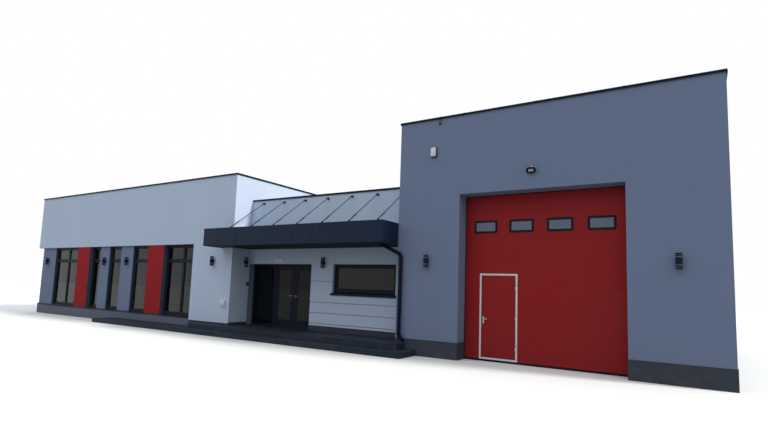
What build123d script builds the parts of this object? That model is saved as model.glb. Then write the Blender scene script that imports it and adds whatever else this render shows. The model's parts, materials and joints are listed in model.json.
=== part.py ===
from build123d import *
import os

# A single-storey village hall: a glazed hall on the left, a lobby set back behind a hung canopy, and a
# garage on the right. Millimetres; X runs along the front, Y into the building, Z up. The origin is on the
# ground under the centre of the whole plan, the lower step and the copings included.

os.makedirs("parts", exist_ok=True)

# The three blocks
hall_length = 13700
lobby_length = 6500
garage_length = 7400
depth = 10500            # front face to back face of the hall and the garage
hall_top = 5480          # tops are measured over the copings
lobby_top = 4650
garage_top = 6240
wall = 400               # hall and lobby walls
garage_wall = 450
lobby_setback = 800      # the lobby's front and back stand this far inside the other blocks'
seat = 0.3               # gap left between a fitting and what carries it

# Copings, folded from sheet
coping_rise = 25
coping_lip = 30
coping_sheet = 8
coping_drop = 35
coping_fall = 8          # the top slopes this much towards the roof

# Roofs, floors and steps
roof_t = 250
roof_below_wall_top = 230
riser = 145
hall_floor_top = 2 * riser
garage_floor_top = 30
foundation_top = 380     # concrete edge under the hall's piers, its outer walls and the lobby's back
step_tread = 410
step_reach = 850         # the lower step stands this far in front of the building
lower_step_on_hall = 6800
lower_step_on_garage = 620
upper_step_on_hall = 1500
upper_step_on_garage = 300
nosing = 12

# Hall front, from its left end: piers and windows under the oversailing upper wall. A window's last
# values are the places of its mullions, from its left edge.
left_overhang = 300
grey_pier_widths = (1220, 680, 850)
red_pier_widths = (1000, 990)
window_widths = (2140, 720, 870, 1130, 1740)
window_mullions = ((1070,), (), (), (), (1020,))
band_bottom = 3050
hall_base_top = 450
white_wall_base_top = 350
base_recess = 20
grey_pier_setback = 85
pier_back = 400          # the back of the piers, behind the front face
ring_beam_height = 300
window_setback = 160
frame_bar = 100
frame_depth = 90
glass_t = 20
transom_z = 2450

# Lobby front: entrance, window and grooved render
head_z = 2390
entrance_width = 2830
door_recess = 235        # the door frame stands this far behind the wall face
lobby_base_top = 460
lobby_window_width = 2285
lobby_window_from_garage = 510
lobby_window_foot = 1430
lobby_frame_setback = 90
sill_t = 90
sill_reach = 50
sill_ear = 40
sill_drop = 5
sill_fall = 25
groove_levels = (530, 860, 1190, 1850)
groove_width = 28
groove_depth = 15

# Back windows: the lobby window repeated
first_back_window = 2700
back_window_pitch = 3700
back_window_count = 3

# Entrance doors
door_frame_bar = 60
door_frame_depth = 70
sidelight_width = 990    # from the hall wall to the post
post_width = 80
door_leaf_t = 60
door_leaf_set_in = 5
door_side_gap = 5
meeting_gap = 12
door_floor_gap = 10
door_head_gap = 8
door_stile = 125
door_bottom_rail = 210
door_top_rail = 110
door_handle_z = 1340
handle_from_edge = 60

# Hinges: lift-off, with a knuckle on the frame under a knuckle on the leaf
hinge_stand_off = 10     # the axis stands this far in front of the frame
hinge_radius = 8
hinge_sides = 12         # round small parts are drawn with this many sides
hinge_wing = 30
hinge_neck = 4
hinge_height = 55
hinge_inset = 260
hinge_count = 3

# Lever handles
handle_plate = (32, 8, 170)
handle_neck_radius = 10
handle_reach = 52
lever_length = 115
lever_radius = 9
lever_sides = 8

# Garage door
door_from_corner = 1765
door_width = 3800
door_head = 4130
section_count = 7
section_height = 604
section_t = 40
section_overlap = 70
section_gap = 2
seal_top = 50
seal_lip = 8
door_window_width = 600
door_window_height = 325
door_window_pitch = 907
door_window_count = 4
door_window_z = 3328
door_window_bar = 40
door_window_proud = 12
door_window_rebate = 10
door_window_corner = 30

# Wicket in the garage door
wicket_from_reveal = 403
wicket_width = 957
wicket_top = 2150
wicket_bar = 50
wicket_proud = 10
wicket_hinge_gap = 5
wicket_free_gap = 9
wicket_handle_z = 1025

# Canopy
canopy_on_hall = 490
canopy_reach = 820
canopy_bottom = 2890
canopy_top = 3450
canopy_edge = 45
canopy_soffit_inset = 25
canopy_tray = 60
fascia_panels = 9
fascia_seam = 8
fascia_seam_depth = 6
gable_panels = 2

# Tie rods
rod_radius = 11
rod_count = 7
rod_from_hall = 570
rod_from_garage = 270
rod_anchor_z = 4480
rod_foot_reach = 632     # the lower pins stand this far in front of the building
rod_foot_rise = 42       # and this far above the canopy's rim
wall_plate = (80, 12, 80)
foot_plate = (90, 80, 12)
lug_t = 12
lug_reach = 58
lug_half = 24
fork_t = 7
fork_length = 95
fork_half = 16
pin_radius = 9
pin_length = 46
turnbuckle_radius = 19
turnbuckle_length = 170
turnbuckle_from_foot = 210

# Plinth, lanterns and small fittings
plinth_top = 420
plinth_proud = 12
lantern_radius = 62
lantern_neck_radius = 46
lantern_sides = 16
lantern_rings = (27, 15, 30, 27, 133, 30, 19, 15, 27)   # full and necked rings in turn, upwards
lantern_stand_off = 90
lantern_plate = (70, 14, 110)
lantern_arm = (34, 60)
lantern_z = 2430
pier_lantern_places = (580, 410, 500)                   # from the left edge of each grey pier
white_wall_lantern_from_corner = 920
side_wall_lantern_depth = 565
lobby_lantern_from_entrance = 515
garage_lantern_from_left = 895
garage_lantern_from_right = 890
floodlight_size = (230, 45, 150)
floodlight_above_door = 440
floodlight_left_of_centre = 80
floodlight_arm = (90, 60, 60)
siren_size = (170, 85, 280)
siren_from_left = 1025
siren_below_top = 942
emergency_size = (400, 60, 120)
emergency_from_hall = 1440
emergency_above_head = 130
socket_size = (250, 90, 220)
socket_from_corner = 268
socket_z = 1015
alarm_size = (110, 55, 130)
alarm_depth = 740
alarm_z = 1690

# Downpipe
pipe_radius = 50
pipe_sides = 24
pipe_proud = 85          # its axis stands this far in front of the building
pipe_from_corner = 150
pipe_outlet_from_corner = 600
pipe_outlet_drop = 60
pipe_bend_z = 2600
pipe_shoe_z = 470
pipe_shoe_drop = 110
pipe_shoe_reach = 140
pipe_mitre = 70          # each bend is cut in two mitres, this far either side of its corner
pipe_clamp_levels = (2150, 900)
pipe_clamp_height = 36
pipe_clamp_t = 7
pipe_arm = 24

# Places worked out from the driving sizes
length = hall_length + lobby_length + garage_length
hall_x0 = -length / 2
hall_x1 = hall_x0 + hall_length
garage_x0 = hall_x1 + lobby_length
garage_x1 = garage_x0 + garage_length
front = (step_reach - depth - coping_lip) / 2
back = front + depth
lobby_front = front + lobby_setback
lobby_back = back - lobby_setback
hall_wall_top = hall_top - coping_rise
lobby_wall_top = lobby_top - coping_rise
garage_wall_top = garage_top - coping_rise
lower_hall_x0 = hall_x0 + left_overhang
entrance_right = hall_x1 + entrance_width
door_left = garage_x0 + door_from_corner
door_right = door_left + door_width
door_centre = (door_left + door_right) / 2
door_face = front + garage_wall + seat
section_back = door_face + section_t
entrance_face = lobby_front + door_recess

# The run of bays along the hall front
grey_piers_at, red_piers_at, hall_windows_at = [], [], []
x = lower_hall_x0
for kind, index in [
    ("grey", 0), ("window", 0), ("red", 0), ("window", 1), ("grey", 1),
    ("window", 2), ("grey", 2), ("window", 3), ("red", 1), ("window", 4),
]:
    widths, bays = {
        "grey": (grey_pier_widths, grey_piers_at),
        "red": (red_pier_widths, red_piers_at),
        "window": (window_widths, hall_windows_at),
    }[kind]
    bays.append((x, x + widths[index]))
    x += widths[index]
white_wall_x0 = x

# Windows: outline, front of the frame, mullions and transom
sill_top = lobby_window_foot + sill_t
lobby_window_x = garage_x0 - lobby_window_from_garage - lobby_window_width / 2
back_windows = [
    (hall_x0 + first_back_window + i * back_window_pitch, back) for i in range(back_window_count)
]
back_windows.append(((hall_x1 + garage_x0) / 2, lobby_back))
windows = [
    (x0, x1, hall_base_top, band_bottom, front + window_setback, mullions, (transom_z,))
    for (x0, x1), mullions in zip(hall_windows_at, window_mullions)
]
for x, frame_y in [(lobby_window_x, lobby_front + lobby_frame_setback)] + [
    (x, wall_face - lobby_frame_setback - frame_depth) for x, wall_face in back_windows
]:
    half = lobby_window_width / 2
    windows.append((x - half, x + half, sill_top, head_z, frame_y, (), ()))


def rect(x0, x1, y0, y1, mode=Mode.ADD):
    """Adds the rectangle that spans x0 to x1 and y0 to y1 to the sketch being drawn."""
    with Locations(((x0 + x1) / 2, (y0 + y1) / 2)):
        Rectangle(x1 - x0, y1 - y0, mode=mode)


def facing_front(y):
    """The upright plane at y, seen from the front: sketch x is X and sketch y is Z."""
    return Plane.XZ.offset(-y)


def clear_openings(x0, x1, z0, z1, mullions, transoms):
    """The openings that a window frame leaves between its bars, as (x0, x1, z0, z1)."""
    half = frame_bar / 2
    columns = [x0 + half, *(x0 + m for m in mullions), x1 - half]
    rows = [z0 + half, *transoms, z1 - half]
    return [
        (left + half, right - half, low + half, high - half)
        for left, right in zip(columns, columns[1:])
        for low, high in zip(rows, rows[1:])
    ]


def coping_section(low, high, top):
    """Corners of a folded coping over a wall from low to high: two lips and a top that slopes to high."""
    outer_low, outer_high = low - coping_lip, high + coping_lip
    return [
        (outer_low, top - coping_drop),
        (outer_low, top + coping_rise),
        (outer_high, top + coping_rise - coping_fall),
        (outer_high, top - coping_drop),
        (outer_high - coping_sheet, top - coping_drop),
        (outer_high - coping_sheet, top),
        (outer_low + coping_sheet, top),
        (outer_low + coping_sheet, top - coping_drop),
    ]


def hinge_levels(z0, z1):
    """Heights of the hinges, spread evenly between the insets at the ends of a leaf."""
    span = z1 - z0 - 2 * hinge_inset
    return [z0 + hinge_inset + span * i / (hinge_count - 1) for i in range(hinge_count)]


def frame_knuckle(x, y, z, towards, frame_face):
    """The lower half of a hinge: a knuckle on the axis and a wing back to the frame."""
    with BuildPart() as knuckle:
        with BuildSketch(Plane.XY.offset(z - hinge_height)):
            with Locations((x, y)):
                RegularPolygon(hinge_radius, hinge_sides)
            rect(*sorted((x, x + towards * hinge_wing)), y, frame_face)
        extrude(amount=hinge_height)
    return knuckle.part


def leaf_knuckle(x, y, z, towards, leaf_face, side_gap):
    """The upper half: a knuckle, a neck in front of the frame and a wing back to the leaf."""
    with BuildPart() as knuckle:
        with BuildSketch(Plane.XY.offset(z + seat)):
            with Locations((x, y)):
                RegularPolygon(hinge_radius, hinge_sides)
            rect(*sorted((x, x + towards * hinge_wing)), y, y + hinge_neck)
            rect(*sorted((x + towards * side_gap, x + towards * hinge_wing)), y, leaf_face)
        extrude(amount=hinge_height)
    return knuckle.part


def lever_handle(x, face_y, z, outward, lever_to):
    """A lever handle: a neck stands off its plate, and the lever turns level towards lever_to."""
    start = face_y + outward * seat
    axis_y = start + outward * (handle_reach - lever_radius)
    plate_w, plate_t, plate_h = handle_plate
    with BuildPart() as handle:
        with BuildSketch(Plane(origin=(x, start, z), x_dir=(1, 0, 0), z_dir=(0, outward, 0))):
            Rectangle(plate_w, plate_h)
        extrude(amount=plate_t)
        chamfer(handle.edges().filter_by(Axis.Y), handle_neck_radius)
        with BuildSketch(Plane(origin=(x, start, z), x_dir=(1, 0, 0), z_dir=(0, outward, 0))):
            RegularPolygon(handle_neck_radius, lever_sides)
        extrude(amount=handle_reach)
        with BuildSketch(Plane(origin=(x, axis_y, z), z_dir=(lever_to, 0, 0))):
            RegularPolygon(lever_radius, lever_sides, rotation=180 / lever_sides)
        extrude(amount=lever_length)
    return handle.part


def keep(name, piece):
    """Labels a finished piece and writes it as its own file."""
    piece.part.label = name
    export_step(piece.part, f"parts/{name}.step")


# Garage walls: the front is split beside and over the vehicle door, and the rest runs round the back
with BuildPart() as garage_front_wall:
    with BuildSketch(facing_front(front)):
        rect(garage_x0, door_left, 0, garage_wall_top)
        rect(door_right, garage_x1, 0, garage_wall_top)
    extrude(amount=-garage_wall)
keep("garage_front_wall", garage_front_wall)

with BuildPart() as garage_lintel:
    with BuildSketch(facing_front(front)):
        rect(door_left, door_right, door_head, garage_wall_top)
    extrude(amount=-garage_wall)
keep("garage_lintel", garage_lintel)

with BuildPart() as garage_walls:
    with BuildSketch():
        rect(garage_x0, garage_x1, front + garage_wall, back)
        inner_x = (garage_x0 + garage_wall, garage_x1 - garage_wall)
        rect(*inner_x, front + garage_wall, back - garage_wall, mode=Mode.SUBTRACT)
    extrude(amount=garage_wall_top)
keep("garage_walls", garage_walls)

# Plinth strips on the garage walls; at the steps the strip starts on the lower step
with BuildPart() as garage_plinth:
    step_end = garage_x0 + lower_step_on_garage
    with BuildSketch():
        rect(garage_x1, garage_x1 + plinth_proud, front - plinth_proud, back + plinth_proud)
        rect(door_right, garage_x1 - seat, front - plinth_proud, front)
        rect(garage_x0, garage_x1 - seat, back, back + plinth_proud)
        rect(step_end + seat, door_left, front - plinth_proud, front)
    extrude(amount=plinth_top)
    with BuildSketch(Plane.XY.offset(riser)):
        rect(garage_x0, step_end, front - plinth_proud, front)
    extrude(amount=plinth_top - riser)
keep("garage_plinth", garage_plinth)

# Hall front: the upper wall rests on the white wall and the piers, and these stand on a recessed base
with BuildPart() as hall_upper_wall:
    with BuildSketch(facing_front(front)):
        rect(hall_x0, hall_x1, band_bottom, hall_wall_top)
    extrude(amount=-wall)
keep("hall_upper_wall", hall_upper_wall)

with BuildPart() as hall_front_wall:
    with BuildSketch(facing_front(front)):
        rect(white_wall_x0, hall_x1, white_wall_base_top, band_bottom)
    extrude(amount=-wall)
keep("hall_front_wall", hall_front_wall)

with BuildPart() as front_bases:
    with BuildSketch(facing_front(front + base_recess)):
        rect(lower_hall_x0, white_wall_x0, foundation_top, hall_base_top)
        rect(white_wall_x0, hall_x1, 0, white_wall_base_top)
    extrude(amount=base_recess - wall)
    with BuildSketch(facing_front(lobby_front + base_recess)):
        rect(entrance_right, garage_x0, 0, lobby_base_top)
    extrude(amount=base_recess - wall)
keep("front_bases", front_bases)

with BuildPart() as grey_piers:
    with BuildSketch(facing_front(front + grey_pier_setback)):
        for x0, x1 in grey_piers_at:
            rect(x0, x1, hall_base_top, band_bottom)
    extrude(amount=grey_pier_setback - pier_back)
keep("grey_piers", grey_piers)

with BuildPart() as red_piers:
    with BuildSketch(facing_front(front)):
        for x0, x1 in red_piers_at:
            rect(x0, x1, hall_base_top, band_bottom)
    extrude(amount=-pier_back)
keep("red_piers", red_piers)

# Hall end wall: the ring beam carries the upper part, which oversails the lower one
with BuildPart() as hall_left_wall:
    with BuildSketch(facing_front(front + wall)):
        rect(lower_hall_x0, lower_hall_x0 + wall, foundation_top, band_bottom + ring_beam_height)
        rect(hall_x0, hall_x0 + wall, band_bottom, hall_wall_top)
    extrude(amount=2 * wall - depth)
keep("hall_left_wall", hall_left_wall)

with BuildPart() as hall_right_wall:
    with BuildSketch():
        rect(hall_x1 - wall, hall_x1, front + wall, back - wall)
    extrude(amount=hall_wall_top)
keep("hall_right_wall", hall_right_wall)

# Lobby front: grooved render beside and below the window, and a plain wall over the openings
with BuildPart() as lobby_front_wall:
    window_x = (lobby_window_x - lobby_window_width / 2, lobby_window_x + lobby_window_width / 2)
    with BuildSketch(facing_front(lobby_front)):
        rect(entrance_right, garage_x0, lobby_base_top, head_z)
        rect(*window_x, lobby_window_foot, head_z, mode=Mode.SUBTRACT)
    extrude(amount=-wall)
    with BuildSketch(facing_front(lobby_front)):
        for z in groove_levels:
            rect(entrance_right, garage_x0, z - groove_width / 2, z + groove_width / 2)
    extrude(amount=-groove_depth, mode=Mode.SUBTRACT)
keep("lobby_front_wall", lobby_front_wall)

with BuildPart() as lobby_upper_wall:
    with BuildSketch(facing_front(lobby_front)):
        rect(hall_x1, garage_x0, head_z, lobby_wall_top)
    extrude(amount=-wall)
keep("lobby_upper_wall", lobby_upper_wall)

# Back walls of the hall and the lobby, cut for the repeated windows
with BuildPart() as back_walls:
    with BuildSketch(facing_front(back - wall)):
        rect(lower_hall_x0, hall_x1, foundation_top, hall_wall_top)
        rect(hall_x0, hall_x1, band_bottom, hall_wall_top)
    extrude(amount=-wall)
    with BuildSketch(facing_front(lobby_back - wall)):
        rect(hall_x1, garage_x0, foundation_top, lobby_wall_top)
    extrude(amount=-wall)
    for x, wall_face in back_windows:
        with BuildSketch(facing_front(wall_face)):
            half = lobby_window_width / 2
            rect(x - half, x + half, lobby_window_foot, head_z)
        extrude(amount=wall, mode=Mode.SUBTRACT)
keep("back_walls", back_walls)

# Floors lie between the walls; at the outer walls of the hall and the lobby's back the slab is turned up
# as a foundation under them, a little behind their faces
with BuildPart() as floor_slabs:
    with BuildSketch():
        rect(lower_hall_x0 + wall, hall_x1 - wall, front + wall, back - wall)
        rect(hall_x1, garage_x0, lobby_front + wall, lobby_back - wall)
    extrude(amount=hall_floor_top)
    with BuildSketch():
        rect(lower_hall_x0 + base_recess, white_wall_x0, front + base_recess, front + wall)
        rect(lower_hall_x0 + base_recess, lower_hall_x0 + wall, front + base_recess, back - base_recess)
        rect(lower_hall_x0 + base_recess, hall_x1, back - wall, back - base_recess)
        rect(hall_x1, garage_x0, lobby_back - wall, lobby_back - base_recess)
    extrude(amount=foundation_top)
    with BuildSketch():
        rect(*inner_x, front + garage_wall, back - garage_wall)
    extrude(amount=garage_floor_top)
keep("floor_slabs", floor_slabs)

# Roofs lie between the walls, below their tops
with BuildPart() as roof_slabs:
    for x0, x1, y0, y1, t, top in [
        (hall_x0 + wall, hall_x1 - wall, front, back, wall, hall_wall_top),
        (hall_x1, garage_x0, lobby_front, lobby_back, wall, lobby_wall_top),
        (*inner_x, front, back, garage_wall, garage_wall_top),
    ]:
        with BuildSketch(Plane.XY.offset(top - roof_below_wall_top - roof_t)):
            rect(x0, x1, y0 + t, y1 - t)
        extrude(amount=roof_t)
keep("roof_slabs", roof_slabs)

# Copings: the folded section goes round the walls of a block with mitred corners, and in straight strips
# over the front and the back wall of the lobby
with BuildPart() as parapet_copings:
    for x0, x1, top, t in [
        (hall_x0, hall_x1, hall_wall_top, wall),
        (garage_x0, garage_x1, garage_wall_top, garage_wall),
    ]:
        x_mid = (x0 + x1) / 2
        with BuildLine() as round_the_walls:
            Polyline((x_mid, front), (x1, front), (x1, back), (x0, back), (x0, front), close=True)
        with BuildSketch(Plane.YZ.offset(x_mid)):
            Polygon(*coping_section(front, front + t, top), align=None)
        sweep(path=round_the_walls.wire(), transition=Transition.RIGHT)
    with BuildSketch(Plane.YZ.offset(hall_x1 + seat)):
        Polygon(*coping_section(lobby_front, lobby_front + wall, lobby_wall_top), align=None)
    front_strip = extrude(amount=lobby_length - 2 * seat)
    mirror(front_strip, about=Plane.XZ.offset(-(lobby_front + lobby_back) / 2))
keep("parapet_copings", parapet_copings)

# Window frames with a pane in the middle of each clear opening
with BuildPart() as window_frames:
    for x0, x1, z0, z1, frame_y, mullions, transoms in windows:
        with BuildSketch(facing_front(frame_y)):
            rect(x0 + seat, x1 - seat, z0 + seat, z1 - seat)
            for opening in clear_openings(x0, x1, z0, z1, mullions, transoms):
                rect(*opening, mode=Mode.SUBTRACT)
        extrude(amount=-frame_depth)
keep("window_frames", window_frames)

frame_x0 = hall_x1 + seat
frame_x1 = entrance_right - seat
frame_z0 = hall_floor_top + seat
head_bottom = head_z - seat - door_frame_bar
post_x0 = hall_x1 + sidelight_width
sidelight = (frame_x0 + door_frame_bar, post_x0, frame_z0 + door_frame_bar, head_bottom)
with BuildPart() as window_glass:
    for x0, x1, z0, z1, frame_y, mullions, transoms in windows:
        with BuildSketch(facing_front(frame_y + (frame_depth - glass_t) / 2)):
            for left, right, low, high in clear_openings(x0, x1, z0, z1, mullions, transoms):
                rect(left + seat, right - seat, low + seat, high - seat)
        extrude(amount=-glass_t)
    with BuildSketch(facing_front(entrance_face + (door_frame_depth - glass_t) / 2)):
        left, right, low, high = sidelight
        rect(left + seat, right - seat, low + seat, high - seat)
    extrude(amount=-glass_t)
keep("window_glass", window_glass)

# Sills: a sloping section from the frame to the nose, whose ears reach past the sides of the opening
with BuildPart() as window_sill:
    inner = lobby_front + lobby_frame_setback + frame_depth
    face = lobby_front - seat
    nose = lobby_front - sill_reach
    foot = lobby_window_foot + seat
    rim = sill_top - seat
    with BuildSketch(Plane.YZ.offset(-lobby_window_width / 2 + seat)):
        Polygon(
            (inner, foot),
            (inner, rim),
            (nose, rim - sill_fall),
            (nose, foot - sill_drop),
            (face, foot - sill_drop),
            (face, foot),
            align=None,
        )
    extrude(amount=lobby_window_width - 2 * seat)
    with BuildSketch(Plane.YZ.offset(-lobby_window_width / 2 - sill_ear)):
        rect(nose, face, foot - sill_drop, rim - sill_fall)
    extrude(amount=lobby_window_width + 2 * sill_ear)
with BuildPart() as window_sills:
    with Locations((lobby_window_x, 0, 0)):
        add(window_sill.part)
    for x, wall_face in back_windows:
        with Locations(Location((x, wall_face + lobby_front, 0), (0, 0, 180))):
            add(window_sill.part)
keep("window_sills", window_sills)

# Entrance: jambs, post, head and sidelight rail, then two hinged leaves that meet in the middle
left_hinge_x = post_x0 + post_width
right_hinge_x = frame_x1 - door_frame_bar
entrance_hinge_y = entrance_face - hinge_stand_off
meeting_x = (left_hinge_x + right_hinge_x) / 2
leaf_face = entrance_face + door_leaf_set_in
leaf_z0 = hall_floor_top + door_floor_gap
leaf_z1 = head_bottom - door_head_gap
with BuildPart() as entrance_frame:
    with BuildSketch(facing_front(entrance_face)):
        rect(frame_x0, frame_x1, frame_z0, head_z - seat)
        rect(*sidelight, mode=Mode.SUBTRACT)
        rect(left_hinge_x, right_hinge_x, frame_z0, head_bottom, mode=Mode.SUBTRACT)
    extrude(amount=-door_frame_depth)
    for z in hinge_levels(leaf_z0, leaf_z1):
        add(frame_knuckle(left_hinge_x, entrance_hinge_y, z, -1, entrance_face))
        add(frame_knuckle(right_hinge_x, entrance_hinge_y, z, 1, entrance_face))
keep("entrance_frame", entrance_frame)

for side, hinge_x, towards in [("left", left_hinge_x, 1), ("right", right_hinge_x, -1)]:
    x0, x1 = sorted((hinge_x + towards * door_side_gap, meeting_x - towards * meeting_gap / 2))
    opening = (x0 + door_stile, x1 - door_stile, leaf_z0 + door_bottom_rail, leaf_z1 - door_top_rail)
    with BuildPart() as door_leaf:
        with BuildSketch(facing_front(leaf_face)):
            rect(x0, x1, leaf_z0, leaf_z1)
            rect(*opening, mode=Mode.SUBTRACT)
        extrude(amount=-door_leaf_t)
        for z in hinge_levels(leaf_z0, leaf_z1):
            add(leaf_knuckle(hinge_x, entrance_hinge_y, z, towards, leaf_face, door_side_gap))
    keep(f"{side}_door_leaf", door_leaf)
    with BuildPart() as door_pane:
        with BuildSketch(facing_front(leaf_face + (door_leaf_t - glass_t) / 2)):
            left, right, low, high = opening
            rect(left + seat, right - seat, low + seat, high - seat)
        extrude(amount=-glass_t)
    keep(f"{side}_door_glass", door_pane)
    with BuildPart() as door_handle:
        handle_x = meeting_x - towards * (meeting_gap / 2 + handle_from_edge)
        add(lever_handle(handle_x, leaf_face, door_handle_z, -1, -towards))
        add(lever_handle(handle_x, leaf_face + door_leaf_t, door_handle_z, 1, -towards))
    keep(f"{side}_door_handle", door_handle)

# Canopy: an L-shaped box of sheet panels between the hall and the garage, with a rain tray on top, a
# raised soffit and open seams between the panels of its edge
canopy_x0 = hall_x1 - canopy_on_hall
canopy_x1 = garage_x0 - seat
canopy_y0 = front - canopy_reach
with BuildPart() as canopy:
    with BuildSketch(Plane.XY.offset(canopy_bottom)) as plan:
        with BuildLine():
            Polyline(
                (canopy_x0, canopy_y0),
                (canopy_x1, canopy_y0),
                (canopy_x1, lobby_front - seat),
                (hall_x1 + seat, lobby_front - seat),
                (hall_x1 + seat, front - seat),
                (canopy_x0, front - seat),
                close=True,
            )
        make_face()
    extrude(amount=canopy_top - canopy_bottom)
    with BuildSketch(Plane.XY.offset(canopy_bottom)):
        add(plan.sketch)
        offset(amount=-canopy_edge, kind=Kind.INTERSECTION, mode=Mode.REPLACE)
    extrude(amount=canopy_soffit_inset, mode=Mode.SUBTRACT)
    with BuildSketch(Plane.XY.offset(canopy_top)):
        add(plan.sketch)
        offset(amount=-canopy_edge, kind=Kind.INTERSECTION, mode=Mode.REPLACE)
    extrude(amount=-canopy_tray, mode=Mode.SUBTRACT)
    with BuildSketch(Plane.XY.offset(canopy_bottom)):
        panel = (canopy_x1 - canopy_x0) / fascia_panels
        for i in range(1, fascia_panels):
            x = canopy_x0 + i * panel
            rect(x - fascia_seam / 2, x + fascia_seam / 2, canopy_y0, canopy_y0 + fascia_seam_depth)
        for i in range(1, gable_panels):
            y = canopy_y0 + i * canopy_reach / gable_panels
            for x in (canopy_x0, canopy_x1 - fascia_seam_depth):
                rect(x, x + fascia_seam_depth, y - fascia_seam / 2, y + fascia_seam / 2)
    extrude(amount=canopy_top - canopy_bottom, mode=Mode.SUBTRACT)
keep("canopy", canopy)

# Tie rods: a lug on a wall plate, a fork and pin at each end, the rod with its turnbuckle, and a lug on
# the canopy's rim. One is drawn in the plane x = 0 and repeated along the wall.
wall_face = lobby_front - seat
upper_pin = Vector(0, wall_face - lug_reach, rod_anchor_z)
lower_pin = Vector(0, front - rod_foot_reach, canopy_top + rod_foot_rise)
rod_line = upper_pin - lower_pin
foot_z = canopy_top - canopy_tray + seat


def along_rod(distance):
    """The plane across the rod at a distance from its lower pin."""
    return Plane(origin=lower_pin + rod_line.normalized() * distance, x_dir=(1, 0, 0), z_dir=rod_line)


with BuildPart() as tie_rod:
    with BuildSketch(facing_front(wall_face)):
        with Locations((0, rod_anchor_z)):
            Rectangle(wall_plate[0], wall_plate[2])
    extrude(amount=wall_plate[1])
    with BuildSketch(Plane.XY.offset(foot_z)):
        with Locations((0, lower_pin.Y)):
            Rectangle(foot_plate[0], foot_plate[1])
    extrude(amount=foot_plate[2])
    with BuildSketch(Plane.YZ):
        rect(upper_pin.Y, wall_face, upper_pin.Z - lug_half, upper_pin.Z + lug_half)
        rect(lower_pin.Y - lug_half, lower_pin.Y + lug_half, foot_z, lower_pin.Z)
        with Locations((upper_pin.Y, upper_pin.Z), (lower_pin.Y, lower_pin.Z)):
            RegularPolygon(lug_half, hinge_sides, rotation=180 / hinge_sides)
    extrude(amount=lug_t / 2, both=True)
    with BuildSketch(Plane.YZ):
        with Locations((upper_pin.Y, upper_pin.Z), (lower_pin.Y, lower_pin.Z)):
            RegularPolygon(pin_radius, hinge_sides)
    extrude(amount=pin_length / 2, both=True)
    for start in (-fork_half, rod_line.length - fork_length + fork_half):
        with BuildSketch(along_rod(start)):
            Rectangle(lug_t + 2 * fork_t, 2 * fork_half)
        extrude(amount=fork_length)
    with BuildSketch(along_rod(0)):
        RegularPolygon(rod_radius, hinge_sides)
    extrude(amount=rod_line.length)
    with BuildSketch(along_rod(turnbuckle_from_foot)):
        RegularPolygon(turnbuckle_radius, 6)
    extrude(amount=turnbuckle_length)
rod_first = hall_x1 + rod_from_hall
rod_pitch = (garage_x0 - rod_from_garage - rod_first) / (rod_count - 1)
with BuildPart() as tie_rods:
    for i in range(rod_count):
        with Locations((rod_first + i * rod_pitch, 0, 0)):
            add(tie_rod.part)
keep("tie_rods", tie_rods)

# Steps: both run back into the porch, and the upper one carries its floor in to the doors
for name, on_hall, on_garage, tread, z in [
    ("lower_step", lower_step_on_hall, lower_step_on_garage, 0, 0),
    ("upper_step", upper_step_on_hall, upper_step_on_garage, step_tread, riser),
]:
    with BuildPart() as step:
        with BuildSketch(Plane.XY.offset(z)):
            with BuildLine():
                Polyline(
                    (hall_x1 - on_hall, front - step_reach + tread),
                    (garage_x0 + on_garage, front - step_reach + tread),
                    (garage_x0 + on_garage, front - plinth_proud),
                    (garage_x0, front - plinth_proud),
                    (garage_x0, lobby_front + base_recess),
                    (entrance_right, lobby_front + base_recess),
                    (entrance_right, lobby_front + wall),
                    (hall_x1, lobby_front + wall),
                    (hall_x1, front + base_recess),
                    (hall_x1 - on_hall, front + base_recess),
                    close=True,
                )
            make_face()
        extrude(amount=riser)
        chamfer(step.edges().filter_by(Axis.X).group_by(Axis.Z)[-1].sort_by(Axis.Y)[0], nosing)
    keep(name, step)

# Garage door: sections with finger-safe rounded joints, cut for the windows and the wicket
wicket_left = door_left + wicket_from_reveal
wicket_right = wicket_left + wicket_width
window_xs = [
    door_centre + (i - (door_window_count - 1) / 2) * door_window_pitch for i in range(door_window_count)
]
hole_width = door_window_width - 2 * door_window_bar + 2 * door_window_rebate
hole_height = door_window_height - 2 * door_window_bar + 2 * door_window_rebate
with BuildPart() as garage_door_sections:
    with BuildSketch(Plane.YZ.offset(door_left - section_overlap)):
        for i in range(section_count):
            z0 = seal_top + i * section_height
            z1 = z0 + section_height - section_gap
            with BuildLine():
                Line((door_face, z0), (door_face, z1))
                ThreePointArc(
                    (door_face, z1), (door_face + section_t / 2, z1 + section_gap / 2), (section_back, z1)
                )
                Polyline((section_back, z1), (section_back, z0), (door_face, z0))
            make_face()
    extrude(amount=door_width + 2 * section_overlap)
    with BuildSketch(facing_front(door_face)):
        rect(wicket_left, wicket_right, 0, wicket_top)
        for x in window_xs:
            with Locations((x, door_window_z)):
                Rectangle(hole_width, hole_height)
    extrude(amount=-section_t, mode=Mode.SUBTRACT)
keep("garage_door_sections", garage_door_sections)

# Its rubber seal stands on the floor and hangs over the edge of the slab
with BuildPart() as garage_door_seal:
    lip_back = door_face - 2 * seat
    lip_face = lip_back - seal_lip
    with BuildSketch(Plane.YZ.offset(door_left + seat)):
        rect(lip_face, lip_back, 0, seal_top - seat)
        rect(lip_face, section_back, garage_floor_top + seat, seal_top - seat)
    extrude(amount=door_width - 2 * seat)
keep("garage_door_seal", garage_door_seal)

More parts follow.
